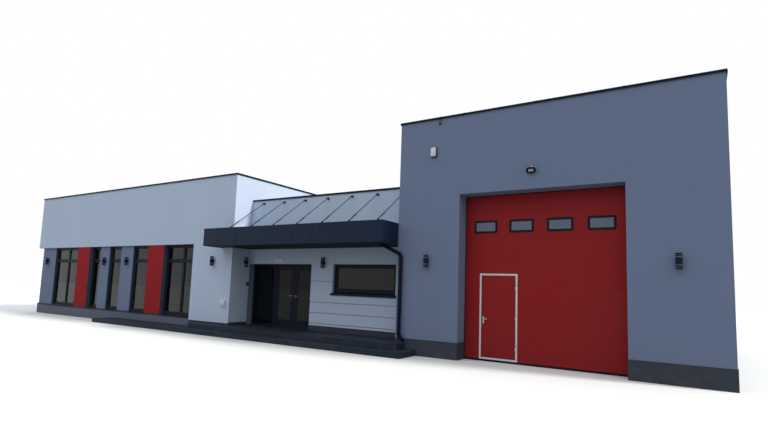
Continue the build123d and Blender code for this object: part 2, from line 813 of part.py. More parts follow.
with BuildPart() as garage_window_frames:
    with BuildSketch(facing_front(door_face - seat)):
        for x in window_xs:
            with Locations((x, door_window_z)):
                Rectangle(door_window_width, door_window_height)
        chamfer(vertices(), door_window_corner)
        for x in window_xs:
            with Locations((x, door_window_z)):
                Rectangle(
                    door_window_width - 2 * door_window_bar,
                    door_window_height - 2 * door_window_bar,
                    mode=Mode.SUBTRACT,
                )
    extrude(amount=door_window_proud)
keep("garage_window_frames", garage_window_frames)

with BuildPart() as garage_window_glass:
    with BuildSketch(facing_front(door_face)):
        for x in window_xs:
            with Locations((x, door_window_z)):
                Rectangle(hole_width - 2 * seat, hole_height - 2 * seat)
    extrude(amount=-glass_t)
keep("garage_window_glass", garage_window_glass)

# Wicket: a frame let into the sections, a leaf with the sections' joints carried across, and handles
bar_left = wicket_left + wicket_bar
bar_right = wicket_right - wicket_bar
leaf_x0 = bar_left + wicket_free_gap
leaf_x1 = bar_right - wicket_hinge_gap
wicket_z0 = seal_top + wicket_bar + wicket_free_gap
wicket_z1 = wicket_top - wicket_bar - wicket_free_gap
wicket_hinge_y = door_face - wicket_proud - hinge_stand_off
with BuildPart() as wicket_frame:
    with BuildSketch(facing_front(door_face - wicket_proud)):
        rect(wicket_left + seat, wicket_right - seat, seal_top, wicket_top - seat)
        rect(bar_left, bar_right, seal_top + wicket_bar, wicket_top - wicket_bar, mode=Mode.SUBTRACT)
    extrude(amount=-(section_t + wicket_proud))
    for z in hinge_levels(wicket_z0, wicket_z1):
        add(frame_knuckle(bar_right, wicket_hinge_y, z, 1, door_face - wicket_proud))
keep("wicket_frame", wicket_frame)

with BuildPart() as wicket_leaf:
    with BuildSketch(facing_front(door_face)):
        rect(leaf_x0, leaf_x1, wicket_z0, wicket_z1)
    extrude(amount=-section_t)
    with BuildSketch(facing_front(door_face)):
        for i in range(1, section_count):
            z = seal_top + i * section_height
            if wicket_z0 < z < wicket_z1:
                rect(leaf_x0, leaf_x1, z - section_gap, z)
    extrude(amount=-section_gap, mode=Mode.SUBTRACT)
    for z in hinge_levels(wicket_z0, wicket_z1):
        add(leaf_knuckle(bar_right, wicket_hinge_y, z, -1, door_face, wicket_hinge_gap))
keep("wicket_leaf", wicket_leaf)

with BuildPart() as wicket_handle:
    add(lever_handle(leaf_x0 + handle_from_edge, door_face, wicket_handle_z, -1, 1))
    add(lever_handle(leaf_x0 + handle_from_edge, section_back, wicket_handle_z, 1, 1))
keep("wicket_handle", wicket_handle)

# Wall lantern: a drum of full and necked rings on an arm and a wall plate, its axis at x = y = 0
with BuildPart() as lantern:
    plate_y = lantern_stand_off - seat
    z = -sum(lantern_rings) / 2
    for i, ring in enumerate(lantern_rings):
        with BuildSketch(Plane.XY.offset(z)):
            RegularPolygon(lantern_neck_radius if i % 2 else lantern_radius, lantern_sides)
        extrude(amount=ring)
        z += ring
    with BuildSketch(facing_front(plate_y)):
        Rectangle(lantern_plate[0], lantern_plate[2])
    extrude(amount=lantern_plate[1])
    with BuildSketch(facing_front(plate_y)):
        Rectangle(*lantern_arm)
    extrude(amount=plate_y - lantern_neck_radius)

lantern_places = [
    (x0 + place, front + grey_pier_setback) for (x0, x1), place in zip(grey_piers_at, pier_lantern_places)
]
lantern_places += [
    (hall_x1 - white_wall_lantern_from_corner, front),
    (entrance_right + lobby_lantern_from_entrance, lobby_front),
    (garage_x0 + garage_lantern_from_left, front),
    (garage_x1 - garage_lantern_from_right, front),
]
with BuildPart() as wall_lanterns:
    for x, y in lantern_places:
        with Locations((x, y - lantern_stand_off, lantern_z)):
            add(lantern.part)
    side_lantern = (hall_x1 + lantern_stand_off, front + side_wall_lantern_depth, lantern_z)
    with Locations(Location(side_lantern, (0, 0, 90))):
        add(lantern.part)
keep("wall_lanterns", wall_lanterns)

# Small fittings on the walls
with BuildPart() as floodlight:
    flood_x = door_centre - floodlight_left_of_centre
    flood_z = door_head + floodlight_above_door
    arm_w, arm_reach, arm_h = floodlight_arm
    with BuildSketch(facing_front(front - seat)):
        with Locations((flood_x, flood_z + arm_h / 2)):
            Rectangle(arm_w, arm_h)
    extrude(amount=arm_reach)
    body_w, body_t, body_h = floodlight_size
    body_at = (flood_x, front - arm_reach, flood_z)
    with BuildSketch(Plane(origin=body_at, x_dir=(1, 0, 0), z_dir=(0, -0.8, -0.6))):
        Rectangle(body_w, body_h)
        chamfer(vertices(), body_t / 2)
    extrude(amount=body_t)
keep("floodlight", floodlight)

with BuildPart() as siren_box:
    with BuildSketch(facing_front(front - seat)):
        with Locations((garage_x0 + siren_from_left, garage_top - siren_below_top)):
            Rectangle(siren_size[0], siren_size[2])
    extrude(amount=siren_size[1], taper=8)
keep("siren_box", siren_box)

with BuildPart() as emergency_light:
    with BuildSketch(facing_front(lobby_front - seat)):
        with Locations((hall_x1 + emergency_from_hall, head_z + emergency_above_head)):
            Rectangle(emergency_size[0], emergency_size[2])
    extrude(amount=emergency_size[1], taper=12)
keep("emergency_light", emergency_light)

with BuildPart() as socket_box:
    with BuildSketch(facing_front(front - seat)):
        with Locations((hall_x1 - socket_from_corner, socket_z)):
            Rectangle(socket_size[0], socket_size[2])
    extrude(amount=socket_size[1], taper=4)
keep("socket_box", socket_box)

with BuildPart() as alarm_box:
    with BuildSketch(Plane.YZ.offset(hall_x1 + seat)):
        with Locations((front + alarm_depth, alarm_z)):
            Rectangle(alarm_size[0], alarm_size[2])
    extrude(amount=alarm_size[1], taper=6)
keep("alarm_box", alarm_box)

# Downpipe: out of the canopy's soffit, across to the garage front, down it and out over the lower step
pipe_x = garage_x0 + pipe_from_corner
pipe_y = front - pipe_proud
corners = [
    Vector(garage_x0 - pipe_outlet_from_corner, pipe_y, canopy_bottom + pipe_outlet_drop),
    Vector(pipe_x, pipe_y, pipe_bend_z),
    Vector(pipe_x, pipe_y, pipe_shoe_z),
    Vector(pipe_x + pipe_shoe_reach, pipe_y, pipe_shoe_z - pipe_shoe_drop),
]
route = [corners[0]]
for before, corner, after in zip(corners, corners[1:], corners[2:]):
    route.append(corner + (before - corner).normalized() * pipe_mitre)
    route.append(corner + (after - corner).normalized() * pipe_mitre)
route.append(corners[-1])
with BuildPart() as downpipe:
    with BuildLine():
        Polyline(*route)
    with BuildSketch(Plane(origin=route[0], z_dir=route[1] - route[0])):
        RegularPolygon(pipe_radius, pipe_sides)
    sweep(transition=Transition.RIGHT)
    split(bisect_by=Plane.XY.offset(canopy_bottom + canopy_soffit_inset - seat), keep=Keep.BOTTOM)
    for z in pipe_clamp_levels:
        with BuildSketch(Plane.XY.offset(z)):
            with Locations((pipe_x, pipe_y)):
                RegularPolygon(pipe_radius + pipe_clamp_t, pipe_sides)
            rect(pipe_x - pipe_arm / 2, pipe_x + pipe_arm / 2, pipe_y, front - seat)
        extrude(amount=pipe_clamp_height)
keep("downpipe", downpipe)
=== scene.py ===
import json
import logging
import math
from dataclasses import dataclass
from enum import Enum
from typing import Any, Iterable, Sequence

import bmesh
import bpy
import numpy as np
from mathutils import Matrix, Vector


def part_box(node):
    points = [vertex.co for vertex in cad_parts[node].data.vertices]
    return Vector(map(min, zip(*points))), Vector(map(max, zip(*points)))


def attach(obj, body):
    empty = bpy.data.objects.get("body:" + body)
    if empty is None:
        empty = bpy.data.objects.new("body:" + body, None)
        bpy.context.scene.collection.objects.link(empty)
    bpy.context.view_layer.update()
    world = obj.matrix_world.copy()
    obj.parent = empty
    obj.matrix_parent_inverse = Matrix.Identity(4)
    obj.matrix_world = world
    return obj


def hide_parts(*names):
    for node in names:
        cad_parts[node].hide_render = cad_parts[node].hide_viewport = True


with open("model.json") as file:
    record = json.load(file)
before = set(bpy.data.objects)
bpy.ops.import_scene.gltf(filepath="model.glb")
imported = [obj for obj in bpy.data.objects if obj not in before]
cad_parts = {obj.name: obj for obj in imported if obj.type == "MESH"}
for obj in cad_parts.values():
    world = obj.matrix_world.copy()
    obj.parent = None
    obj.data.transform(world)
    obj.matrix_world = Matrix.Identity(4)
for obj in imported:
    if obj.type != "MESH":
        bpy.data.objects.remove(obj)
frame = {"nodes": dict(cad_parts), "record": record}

LOG = logging.getLogger("village_hall")
Array = np.ndarray
Colour = tuple[float, float, float]
Spot = Sequence[float]
Drawing = Sequence[Sequence[float]]
PICTURE_WIDTH = 768
SMOOTH_BELOW = math.radians(32)
FORWARD = (0, -1, 0)
UPWARD = (0, 0, 1)
RIGHTWARD = (1, 0, 0)
HAIR = 0.0003


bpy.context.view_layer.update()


class Value:
    """A node socket that adds Math nodes when it is used in an expression."""

    def __init__(self, nodes: "Nodes", socket: bpy.types.NodeSocket) -> None:
        """Wraps one output socket of a node tree."""
        self.nodes = nodes
        self.socket = socket

    def _math(self, operation: str, *values: Any) -> "Value":
        """A Math node of one operation on its values."""
        return self.nodes.node("ShaderNodeMath", dict(enumerate(values)), operation=operation)

    def __add__(self, other: Any) -> "Value":
        """The sum."""
        return self._math("ADD", self, other)

    def __sub__(self, other: Any) -> "Value":
        """The difference."""
        return self._math("SUBTRACT", self, other)

    def __rsub__(self, other: Any) -> "Value":
        """The difference, from a plain number."""
        return self._math("SUBTRACT", other, self)

    def __mul__(self, other: Any) -> "Value":
        """The product."""
        return self._math("MULTIPLY", self, other)

    def __truediv__(self, other: Any) -> "Value":
        """The quotient."""
        return self._math("DIVIDE", self, other)

    def __pow__(self, other: float) -> "Value":
        """The power."""
        return self._math("POWER", self, other)

    def clamp(self) -> "Value":
        """The value held between 0 and 1."""
        return self._math("MINIMUM", self._math("MAXIMUM", self, 0.0), 1.0)

    def fall(self, low: float, high: float) -> "Value":
        """1 below low, 0 above high, and straight between them."""
        return ((self - high) / (low - high)).clamp()


class Nodes:
    """A node tree that is being filled."""

    def __init__(self, tree: bpy.types.NodeTree) -> None:
        """Starts with the tree empty."""
        self.tree = tree
        tree.nodes.clear()

    def node(
        self, kind: str, inputs: dict[Any, Any] | None = None, out: int | str = 0, **settings: Any
    ) -> Value:
        """Adds a node.

        Args:
            kind: the node's type.
            inputs: the values or links of its sockets, by name or number.
            out: the output that is handed back.
            settings: its properties, which are set first.

        Returns:
            The chosen output.
        """
        made = self.tree.nodes.new(kind)
        for key, value in settings.items():
            setattr(made, key, value)
        for key, value in (inputs or {}).items():
            if isinstance(value, Value):
                self.tree.links.new(value.socket, made.inputs[key])
            else:
                made.inputs[key].default_value = value
        return Value(self, made.outputs[out])

    def place(self, scale: Spot | None = None) -> Value:
        """Object coordinates in metres, stretched where a scale is given."""
        at = self.node("ShaderNodeTexCoord", out="Object")
        return at if scale is None else self.node("ShaderNodeMapping", {"Vector": at, "Scale": scale})

    def part(self, value: Value, axis: str) -> Value:
        """The X, Y or Z of a vector or colour."""
        return self.node("ShaderNodeSeparateXYZ", {0: value}, axis)

    def height(self) -> Value:
        """The height above the ground."""
        return self.part(self.place(), "Z")

    def tone(self) -> Value:
        """The face's own tone, from the attribute slab_tone."""
        return self.node("ShaderNodeAttribute", out="Fac", attribute_name="slab_tone")

    def noise(self, scale: float, detail: float, at: Value | None = None, rough: float = 0.55) -> Value:
        """A cloudy pattern from 0 to 1, with scale clouds to the metre."""
        inputs = {"Vector": at or self.place(), "Scale": scale, "Detail": detail, "Roughness": rough}
        return self.node("ShaderNodeTexNoise", inputs, "Fac")

    def cells(self, scale: float, out: str = "Distance") -> Value:
        """A pattern of grains, with scale grains to the metre."""
        return self.node("ShaderNodeTexVoronoi", {"Vector": self.place(), "Scale": scale}, out)

    def ramp(self, value: Value, low: float, high: float) -> Value:
        """A grey that rises from black to white.

        Args:
            value: what is looked up.
            low: where it starts to rise.
            high: where it is white.

        Returns:
            The grey.
        """
        shown = self.node("ShaderNodeValToRGB", {0: value}, "Color")
        for element, place in zip(shown.socket.node.color_ramp.elements, (low, high)):
            element.position = place
        return shown

    def patches(self, scale: float, detail: float, low: float, high: float, rough: float = 0.55) -> Value:
        """A cloudy pattern through a ramp."""
        return self.ramp(self.noise(scale, detail, rough=rough), low, high)

    def streaks(self, scale: Spot, detail: float) -> Value:
        """A cloudy pattern stretched by three scales."""
        return self.noise(1.0, detail, self.place(scale))

    def mix(self, factor: Any, first: Any, second: Any) -> Value:
        """Two colours mixed by a factor."""
        ends = [value if isinstance(value, Value) else (*value, 1.0) for value in (first, second)]
        return self.node("ShaderNodeMix", {0: factor, 6: ends[0], 7: ends[1]}, 2, data_type="RGBA")

    def bump(self, height: Value, distance: float, strength: float, below: Value | None = None) -> Value:
        """A relief of that many metres, over another one where it is given."""
        inputs = {"Height": height, "Distance": distance, "Strength": strength}
        return self.node("ShaderNodeBump", inputs | ({"Normal": below} if below else {}))


class Shade(Nodes):
    """One material being made, with its Principled shader."""

    def __init__(self, name: str) -> None:
        """Starts a node material.

        Args:
            name: its name.
        """
        self.material = bpy.data.materials.new(name)
        self.material.use_nodes = True
        super().__init__(self.material.node_tree)
        out = self.tree.nodes.new("ShaderNodeOutputMaterial")
        self.shader = self.tree.nodes.new("ShaderNodeBsdfPrincipled")
        self.tree.links.new(self.shader.outputs[0], out.inputs["Surface"])

    def set(self, **sockets: Any) -> bpy.types.Material:
        """Sets or links the shader's own sockets.

        Args:
            sockets: their names, written with _ for a space, and what goes in.

        Returns:
            The material.
        """
        for key, value in sockets.items():
            socket = self.shader.inputs[key.replace("_", " ")]
            if isinstance(value, Value):
                self.tree.links.new(value.socket, socket)
            else:
                socket.default_value = value
        return self.material


@dataclass(frozen=True)
class Finish:
    """A surface finish: its name, its colour and what goes into the shader's sockets."""

    name: str
    colour: Colour

    def tint(self, factor: float) -> Colour:
        """The colour made lighter or darker by a factor."""
        return tuple(min(1.0, c * factor) for c in self.colour)

    def sockets(self, s: Shade) -> dict[str, Any]:
        """Builds the finish's nodes.

        Args:
            s: the material being made.

        Returns:
            What goes into the shader's sockets, by name.
        """
        raise NotImplementedError

    def make(self) -> bpy.types.Material:
        """Builds the material of this finish."""
        shade = Shade(self.name)
        return shade.set(**self.sockets(shade))


@dataclass(frozen=True)
class Render(Finish):
    """Fine scraped render: sand grain, soft clouds, rain streaks and splashes at its foot."""

    splash: Colour = (0.30, 0.27, 0.23)

    def sockets(self, s: Shade) -> dict[str, Any]:
        """The clouds' tone, the streaks, the splashed foot and the grain's relief.

        Args:
            s: the material being made.

        Returns:
            What goes into the shader's sockets.
        """
        sand = s.noise(420.0, 2.0)
        pits = s.cells(231.0)
        clouds = s.noise(0.55, 5.0, rough=0.6)
        patches = s.noise(3.2, 4.0)
        rain = s.streaks((5.5, 5.5, 0.28), 4.0)
        tone = s.ramp(clouds * 0.6 + patches * 0.25 + sand * 0.15, 0.3, 0.7)
        body = s.mix(tone, self.tint(0.955), self.tint(1.03))
        body = s.mix(s.ramp(rain, 0.52, 0.78) * 0.07, body, self.tint(0.62))
        foot = (s.height().fall(0.02, 0.9) ** 2.2) * s.patches(9.0, 6.0, 0.35, 0.7)
        body = s.mix(foot * 0.45, body, self.splash)
        relief = s.bump(pits, 0.0011, 0.7, s.bump(sand, 0.0014, 0.6))
        return dict(Base_Color=body, Roughness=sand * 0.08 + 0.90, Normal=relief, Specular_IOR_Level=0.25)


@dataclass(frozen=True)
class Mosaic(Finish):
    """Resin mosaic plaster of coloured grains a few millimetres across, dusty at its foot."""

    light: Colour

    def sockets(self, s: Shade) -> dict[str, Any]:
        """Grains between the dark and the light colour, with dust in patches low down.

        Args:
            s: the material being made.

        Returns:
            What goes into the shader's sockets.
        """
        shade = s.part(s.cells(330.0, "Color"), "X")
        depth = s.cells(330.0)
        dust = s.height().fall(0.0, 0.35) * s.patches(6.0, 5.0, 0.35, 0.75)
        body = s.mix(s.ramp(shade, 0.25, 0.9), self.colour, self.light)
        body = s.mix(s.noise(1.4, 4.0) * 0.25, body, self.tint(0.7))
        body = s.mix(dust * 0.16, body, (0.24, 0.235, 0.23))
        rough, relief = depth * 0.4 + 0.52, s.bump(1.0 - depth, 0.0016, 0.8)
        return dict(Base_Color=body, Roughness=rough, Normal=relief, Specular_IOR_Level=0.22)


@dataclass(frozen=True)
class Stone(Finish):
    """Flamed dark stone, each slab with its own tone."""

    speck: Colour

    def sockets(self, s: Shade) -> dict[str, Any]:
        """Specks, veins, the slab's tone and pale scuffs.

        Args:
            s: the material being made.

        Returns:
            What goes into the shader's sockets.
        """
        slab = s.tone()
        specks = s.patches(260.0, 3.0, 0.55, 0.72)
        veins = s.patches(11.0, 6.0, 0.38, 0.68)
        body = s.mix(specks * 0.5, self.colour, self.speck)
        body = s.mix(veins * 0.3, body, self.tint(1.6))
        body = s.mix(slab * 0.5, body, self.tint(0.55))
        scuffs = s.patches(2.2, 5.0, 0.48, 0.72)
        body = s.mix(scuffs * 0.10, body, (0.26, 0.26, 0.26))
        relief = s.bump(s.noise(90.0, 5.0), 0.0018, 0.6)
        return dict(Base_Color=body, Roughness=scuffs * 0.2 + 0.62, Normal=relief, Specular_IOR_Level=0.25)


@dataclass(frozen=True)
class Trowelled(Finish):
    """Trowelled concrete, cloudy, with fine pores."""

    def sockets(self, s: Shade) -> dict[str, Any]:
        """Clouds with dark pores.

        Args:
            s: the material being made.

        Returns:
            What goes into the shader's sockets.
        """
        clouds = s.patches(1.1, 6.0, 0.3, 0.72, 0.6)
        pores = s.ramp(s.cells(75.0), 0.06, 0.16)
        body = s.mix(clouds, self.tint(0.82), self.tint(1.1))
        body = s.mix(1.0 - pores, body, self.tint(0.6))
        return dict(Base_Color=body, Roughness=clouds * 0.2 + 0.68, Normal=s.bump(pores, 0.0010, 0.5))


@dataclass(frozen=True)
class Felt(Finish):
    """Roof felt with mineral granules, bleached and stained in patches."""

    def sockets(self, s: Shade) -> dict[str, Any]:
        """Granules, stains and the sheet's own tone.

        Args:
            s: the material being made.

        Returns:
            What goes into the shader's sockets.
        """
        granules = s.part(s.cells(520.0, "Color"), "X")
        body = s.mix(granules, self.tint(0.66), self.tint(1.35))
        body = s.mix(s.patches(0.7, 6.0, 0.42, 0.66, 0.62) * 0.35, body, self.tint(0.6))
        body = s.mix(s.tone() * 0.35, body, self.tint(1.5))
        return dict(Base_Color=body, Roughness=0.95, Normal=s.bump(granules, 0.0012, 0.7))


@dataclass(frozen=True)
class Coated(Finish):
    """Powder-coated metal: a faint orange peel, slow waves in the sheet, dust and a gloss that varies."""

    gloss: float
    dust: float
    shine: float
    wave: float = 0.0

    def sockets(self, s: Shade) -> dict[str, Any]:
        """Clouds, a film of dust, the peel and the waves.

        Args:
            s: the material being made.

        Returns:
            What goes into the shader's sockets.
        """
        peel = s.noise(650.0, 2.0)
        clouds = s.noise(2.6, 4.0)
        film = s.patches(7.0, 6.0, 0.42, 0.75, 0.65)
        body = s.mix(clouds, self.tint(0.86), self.tint(1.12))
        body = s.mix(film * self.dust, body, (0.42, 0.41, 0.40))
        relief = s.bump(peel, 0.00035, 0.45)
        if self.wave:
            relief = s.bump(s.noise(1.3, 1.0, s.place((1.0, 1.0, 1.8))), self.wave, 0.5, relief)
        rough = clouds * 0.1 + (self.gloss - 0.06) + film * 0.12
        return dict(Base_Color=body, Roughness=rough, Specular_IOR_Level=self.shine, Normal=relief)


@dataclass(frozen=True)
class SectionSteel(Finish):
    """Embossed and lacquered steel skin of the sectional door: stucco, chalky patches, dust at its foot."""

    def sockets(self, s: Shade) -> dict[str, Any]:
        """Chalk, drips, dust, and a ripple under the stucco.

        Args:
            s: the material being made.

        Returns:
            What goes into the shader's sockets.
        """
        stucco = s.cells(210.0)
        ripple = s.streaks((1.2, 1.2, 26.0), 2.0)
        chalk = s.patches(0.8, 6.0, 0.38, 0.70, 0.62)
        drips = s.ramp(s.streaks((9.0, 9.0, 0.35), 4.0), 0.5, 0.8)
        body = s.mix(chalk * 0.40, self.colour, self.tint(1.30))
        body = s.mix(drips * 0.12, body, self.tint(0.55))
        dust = (s.height().fall(0.05, 1.5) ** 1.8) * s.patches(5.0, 6.0, 0.3, 0.75)
        body = s.mix(dust * 0.07, body, (0.30, 0.20, 0.18))
        relief = s.bump(ripple, 0.0012, 0.25, s.bump(stucco, 0.0006, 0.55))
        rough = chalk * 0.14 + 0.46 + dust * 0.2
        return dict(Base_Color=body, Roughness=rough, Normal=relief, Specular_IOR_Level=0.2)


@dataclass(frozen=True)
class Moulded(Finish):
    """Moulded plastic with a fine spark texture and yellowed or greyed patches."""

    gloss: float = 0.45
    shine: float = 0.5

    def sockets(self, s: Shade) -> dict[str, Any]:
        """Patches of age and the spark texture's relief.

        Args:
            s: the material being made.

        Returns:
            What goes into the shader's sockets.
        """
        spark = s.noise(900.0, 2.0)
        body = s.mix(s.noise(14.0, 5.0) * 0.5, self.colour, self.tint(0.84))
        rough, relief = spark * 0.12 + self.gloss, s.bump(spark, 0.0003, 0.5)
        return dict(Base_Color=body, Roughness=rough, Normal=relief, Specular_IOR_Level=self.shine)


@dataclass(frozen=True)
class Brushed(Finish):
    """Brushed stainless steel with long scratches along X."""

    def sockets(self, s: Shade) -> dict[str, Any]:
        """Scratches, and prints that dull the shine.

        Args:
            s: the material being made.

        Returns:
            What goes into the shader's sockets.
        """
        lines = s.streaks((60.0, 1500.0, 1500.0), 3.0)
        prints = s.patches(40.0, 5.0, 0.4, 0.7)
        body = s.mix(lines, self.tint(0.84), self.tint(1.08))
        rough = lines * 0.14 + 0.24 + prints * 0.08
        return dict(Base_Color=body, Metallic=1.0, Roughness=rough, Normal=s.bump(lines, 0.0001, 0.4))


@dataclass(frozen=True)
class Glazing(Finish):
    """Clear or tinted glass with a breath of dust on it."""

    roughness: float = 0.02
    clear: float = 1.0
    bend: float = 1.5

    def sockets(self, s: Shade) -> dict[str, Any]:
        """A film of dust over the tint, and slow waves.

        Args:
            s: the material being made.

        Returns:
            What goes into the shader's sockets.
        """
        film = s.patches(3.0, 6.0, 0.40, 0.8, 0.65)
        body = s.mix(film * 0.05, self.colour, self.tint(1.25))
        rough, relief = film * 0.03 + self.roughness, s.bump(s.noise(1.3, 1.0), 0.0016, 0.4)
        clear = dict(IOR=self.bend, Transmission_Weight=self.clear)
        return dict(Base_Color=body, Roughness=rough, Normal=relief) | clear


class Slot(Enum):
    """The record's material slots with the finish that each is given, then finishes for parts of a piece."""

    # White and grey render: their blue cast is painted sky light of shade, laid over colours that are white
    # and mid grey.
    WHITE_RENDER = Render("white_render", (0.555, 0.65, 0.83))
    GREY_RENDER = Render("grey_render", (0.188, 0.236, 0.362), splash=(0.17, 0.17, 0.17))
    RED_RENDER = Render("red_render", (0.335, 0.016, 0.022), splash=(0.16, 0.05, 0.05))
    MOSAIC = Mosaic("mosaic_plaster", (0.026, 0.032, 0.047), light=(0.085, 0.096, 0.124))
    STONE = Stone("step_stone", (0.015, 0.023, 0.044), speck=(0.052, 0.068, 0.108))
    # Concrete: its dark blue-grey is painted shade, so the exposed foundation strip reads as the shaded band
    # at the building's foot.
    CONCRETE = Trowelled("concrete", (0.115, 0.137, 0.185))
    FELT = Felt("roof_felt", (0.20, 0.21, 0.225))
    METAL = Coated("anthracite_metal", (0.009, 0.014, 0.025), gloss=0.42, dust=0.008, shine=0.07)
    RED_DOOR = SectionSteel("red_door", (0.275, 0.0075, 0.011))
    WHITE_METAL = Coated("white_metal", (0.74, 0.72, 0.75), gloss=0.4, dust=0.10, shine=0.5)
    RUBBER = Moulded("black_rubber", (0.012, 0.012, 0.014), gloss=0.72, shine=0.15)
    BLACK_PLASTIC = Moulded("black_plastic", (0.006, 0.008, 0.015), shine=0.12)
    WHITE_PLASTIC = Moulded("white_plastic", (0.74, 0.76, 0.80), gloss=0.35)
    RED_PLASTIC = Moulded("red_plastic", (0.13, 0.008, 0.018), gloss=0.35)
    STEEL = Brushed("steel", (0.60, 0.60, 0.61))
    GLASS = Glazing("glass", (0.11, 0.125, 0.135), bend=1.33)
    DOOR_GLASS = Glazing("door_glass", (0.06, 0.066, 0.075), bend=1.22)
    OPAL = Moulded("opal_diffuser", (0.11, 0.13, 0.17))
    LENS = Moulded("lamp_lens", (0.80, 0.83, 0.88), gloss=0.1)
    SOFFIT = Coated("soffit_lacquer", (0.009, 0.010, 0.014), gloss=0.6, dust=0.01, shine=0.06)
    # Fascia: dark lacquer with a blue cast that is a painted reflection of the sky.
    FASCIA = Coated("fascia_lacquer_and_sky_reflection", (0.008, 0.019, 0.048), gloss=0.32, dust=0.008, shine=0.12, wave=0.010)
    # Reveal lining: a dark sheet whose colour is also painted shade in the window reveals.
    LINING = Coated("reveal_lining", (0.066, 0.098, 0.142), gloss=0.5, dust=0.008, shine=0.08)
    PIPE = Coated("pipe_lacquer", (0.006, 0.008, 0.018), gloss=0.55, dust=0.006, shine=0.06)
    JOINT = Coated("groove_shade_profile", (0.32, 0.375, 0.48), gloss=0.6, dust=0.03, shine=0.2)
    ACRYLIC = Glazing("door_acrylic", (0.14, 0.18, 0.26), roughness=0.22, clear=0.25)

    @property
    def label(self) -> str:
        """The slot's name in the record."""
        return self.value.name


class Palette:
    """Makes each slot's material once and hands it out."""

    def __init__(self) -> None:
        """Starts with no material made."""
        self.made: dict[str, bpy.types.Material] = {}

    def of(self, slot: Slot) -> bpy.types.Material:
        """The material of a slot, made at its first use.

        Args:
            slot: the slot.

        Returns:
            Its material.
        """
        if slot.label not in self.made:
            self.made[slot.label] = slot.value.make()
        return self.made[slot.label]

    def dress_nodes(self) -> None:
        """Gives every CAD node the material of its slot in the record, or a closer one where it has one."""
        slots = {slot.label: slot for slot in Slot}
        closer = {
            "garage_window_glass": Slot.ACRYLIC, "canopy": Slot.FASCIA,
            "left_door_glass": Slot.DOOR_GLASS, "right_door_glass": Slot.DOOR_GLASS,
        }
        for part in frame["record"]["subparts"]:
            node = frame["nodes"][part["node"]]
            node.data.materials.clear()
            node.data.materials.append(self.of(closer.get(part["node"], slots[part["material_slot"]])))


PALETTE = Palette()


class Lie(Enum):
    """How a flat drawing (u, v) with a third value w lies in the building."""

    PLAN = (0, 1, 2)
    FRONT = (0, 2, 1)
    SIDE = (1, 2, 0)

    def place(self, points: Array) -> Array:
        """Puts (u, v, w) points into X, Y, Z.

        Args:
            points: the drawing's points with their third value.

        Returns:
            The same points in the building.
        """
        placed = np.empty_like(points)
        placed[..., list(self.value)] = points
        return placed


def mm(*pairs: Spot, at: Spot = (0.0, 0.0)) -> Array:
    """A drawing's points, given in millimetres from a place in metres."""
    return np.array(pairs, float) / 1000 + at


def about(middle: float, half: float) -> tuple[float, float]:
    """Both ends of a length, from its middle."""
    return middle - half, middle + half


def laid(points: Array, axis: Spot, origin: Spot) -> Array:
    """Points made about the Z axis, with that axis laid along another and moved to an origin."""
    turn = np.array(Vector(axis).normalized().to_track_quat("Z", "Y").to_matrix())
    return points @ turn.T + np.asarray(origin, float)


def carried(path: Drawing, profile: Drawing, lie: Lie, closed: bool) -> Array:
    """A profile carried along corners with mitres: at corner k the profile's first value runs along the
    corner's mitre, to the left of the path, and its second is the third value of the drawing.

    Args:
        path: the corners.
        profile: the profile's points.
        lie: how the drawing lies.
        closed: whether the path's end joins its start.

    Returns:
        A grid with one row for each corner.
    """
    p = np.asarray(path, float)
    ahead = np.roll(p, -1, 0) - p
    behind = np.roll(ahead, 1, 0)
    if not closed:
        ahead[-1], behind[0] = behind[-1], ahead[0]
    left = [np.stack([-d[:, 1], d[:, 0]], -1) / np.linalg.norm(d, axis=1)[:, None] for d in (behind, ahead)]
    mitre = (left[0] + left[1]) / (1 + (left[0] * left[1]).sum(1))[:, None]
    q = np.asarray(profile, float)
    flat = p[:, None] + mitre[:, None] * q[None, :, :1]
    third = np.broadcast_to(q[None, :, 1:], (*flat.shape[:2], 1))
    return lie.place(np.concatenate([flat, third], -1))


def corners(x0: float, x1: float, y0: float, y1: float, radius: float = 0.0, steps: int = 9) -> Array:
    """A rectangle's corners, turning left, each replaced by an arc where a radius is given.

    Args:
        x0, x1, y0, y1: its sides.
        radius: the arcs' radius.
        steps: the points on each arc.

    Returns:
        The path.
    """
    corner = np.array([[x0, y0], [x1, y0], [x1, y1], [x0, y1]], float)
    if not radius:
        return corner
    inward = np.array([[1, 1], [-1, 1], [-1, -1], [1, -1]], float)
    t = np.radians(np.array([180, 270, 0, 90])[:, None] + np.linspace(0, 90, steps)[None])
    arcs = (corner + inward * radius)[:, None] + radius * np.stack([np.cos(t), np.sin(t)], -1)
    return arcs.reshape(-1, 2)


def tube(path: Array, radius: Any, sides: int, flat: Spot) -> Array:
    """A round tube along a path in one plane: ring k stands square to the path's direction at point k.

    Args:
        path: the middle's points.
        radius: one radius, or one for each point.
        sides: the points round each ring.
        flat: the direction square to the path's plane.

    Returns:
        A grid with one row for each point.
    """
    p = np.asarray(path, float)
    way = np.gradient(p, axis=0)
    way /= np.linalg.norm(way, axis=1)[:, None]
    across = np.broadcast_to(np.asarray(flat, float), p.shape)
    other = np.cross(way, across)
    t = np.linspace(0, 2 * math.pi, sides, endpoint=False)[None, :, None]
    r = np.broadcast_to(radius, (len(p),))[:, None, None]
    return p[:, None] + r * (np.cos(t) * across[:, None] + np.sin(t) * other[:, None])


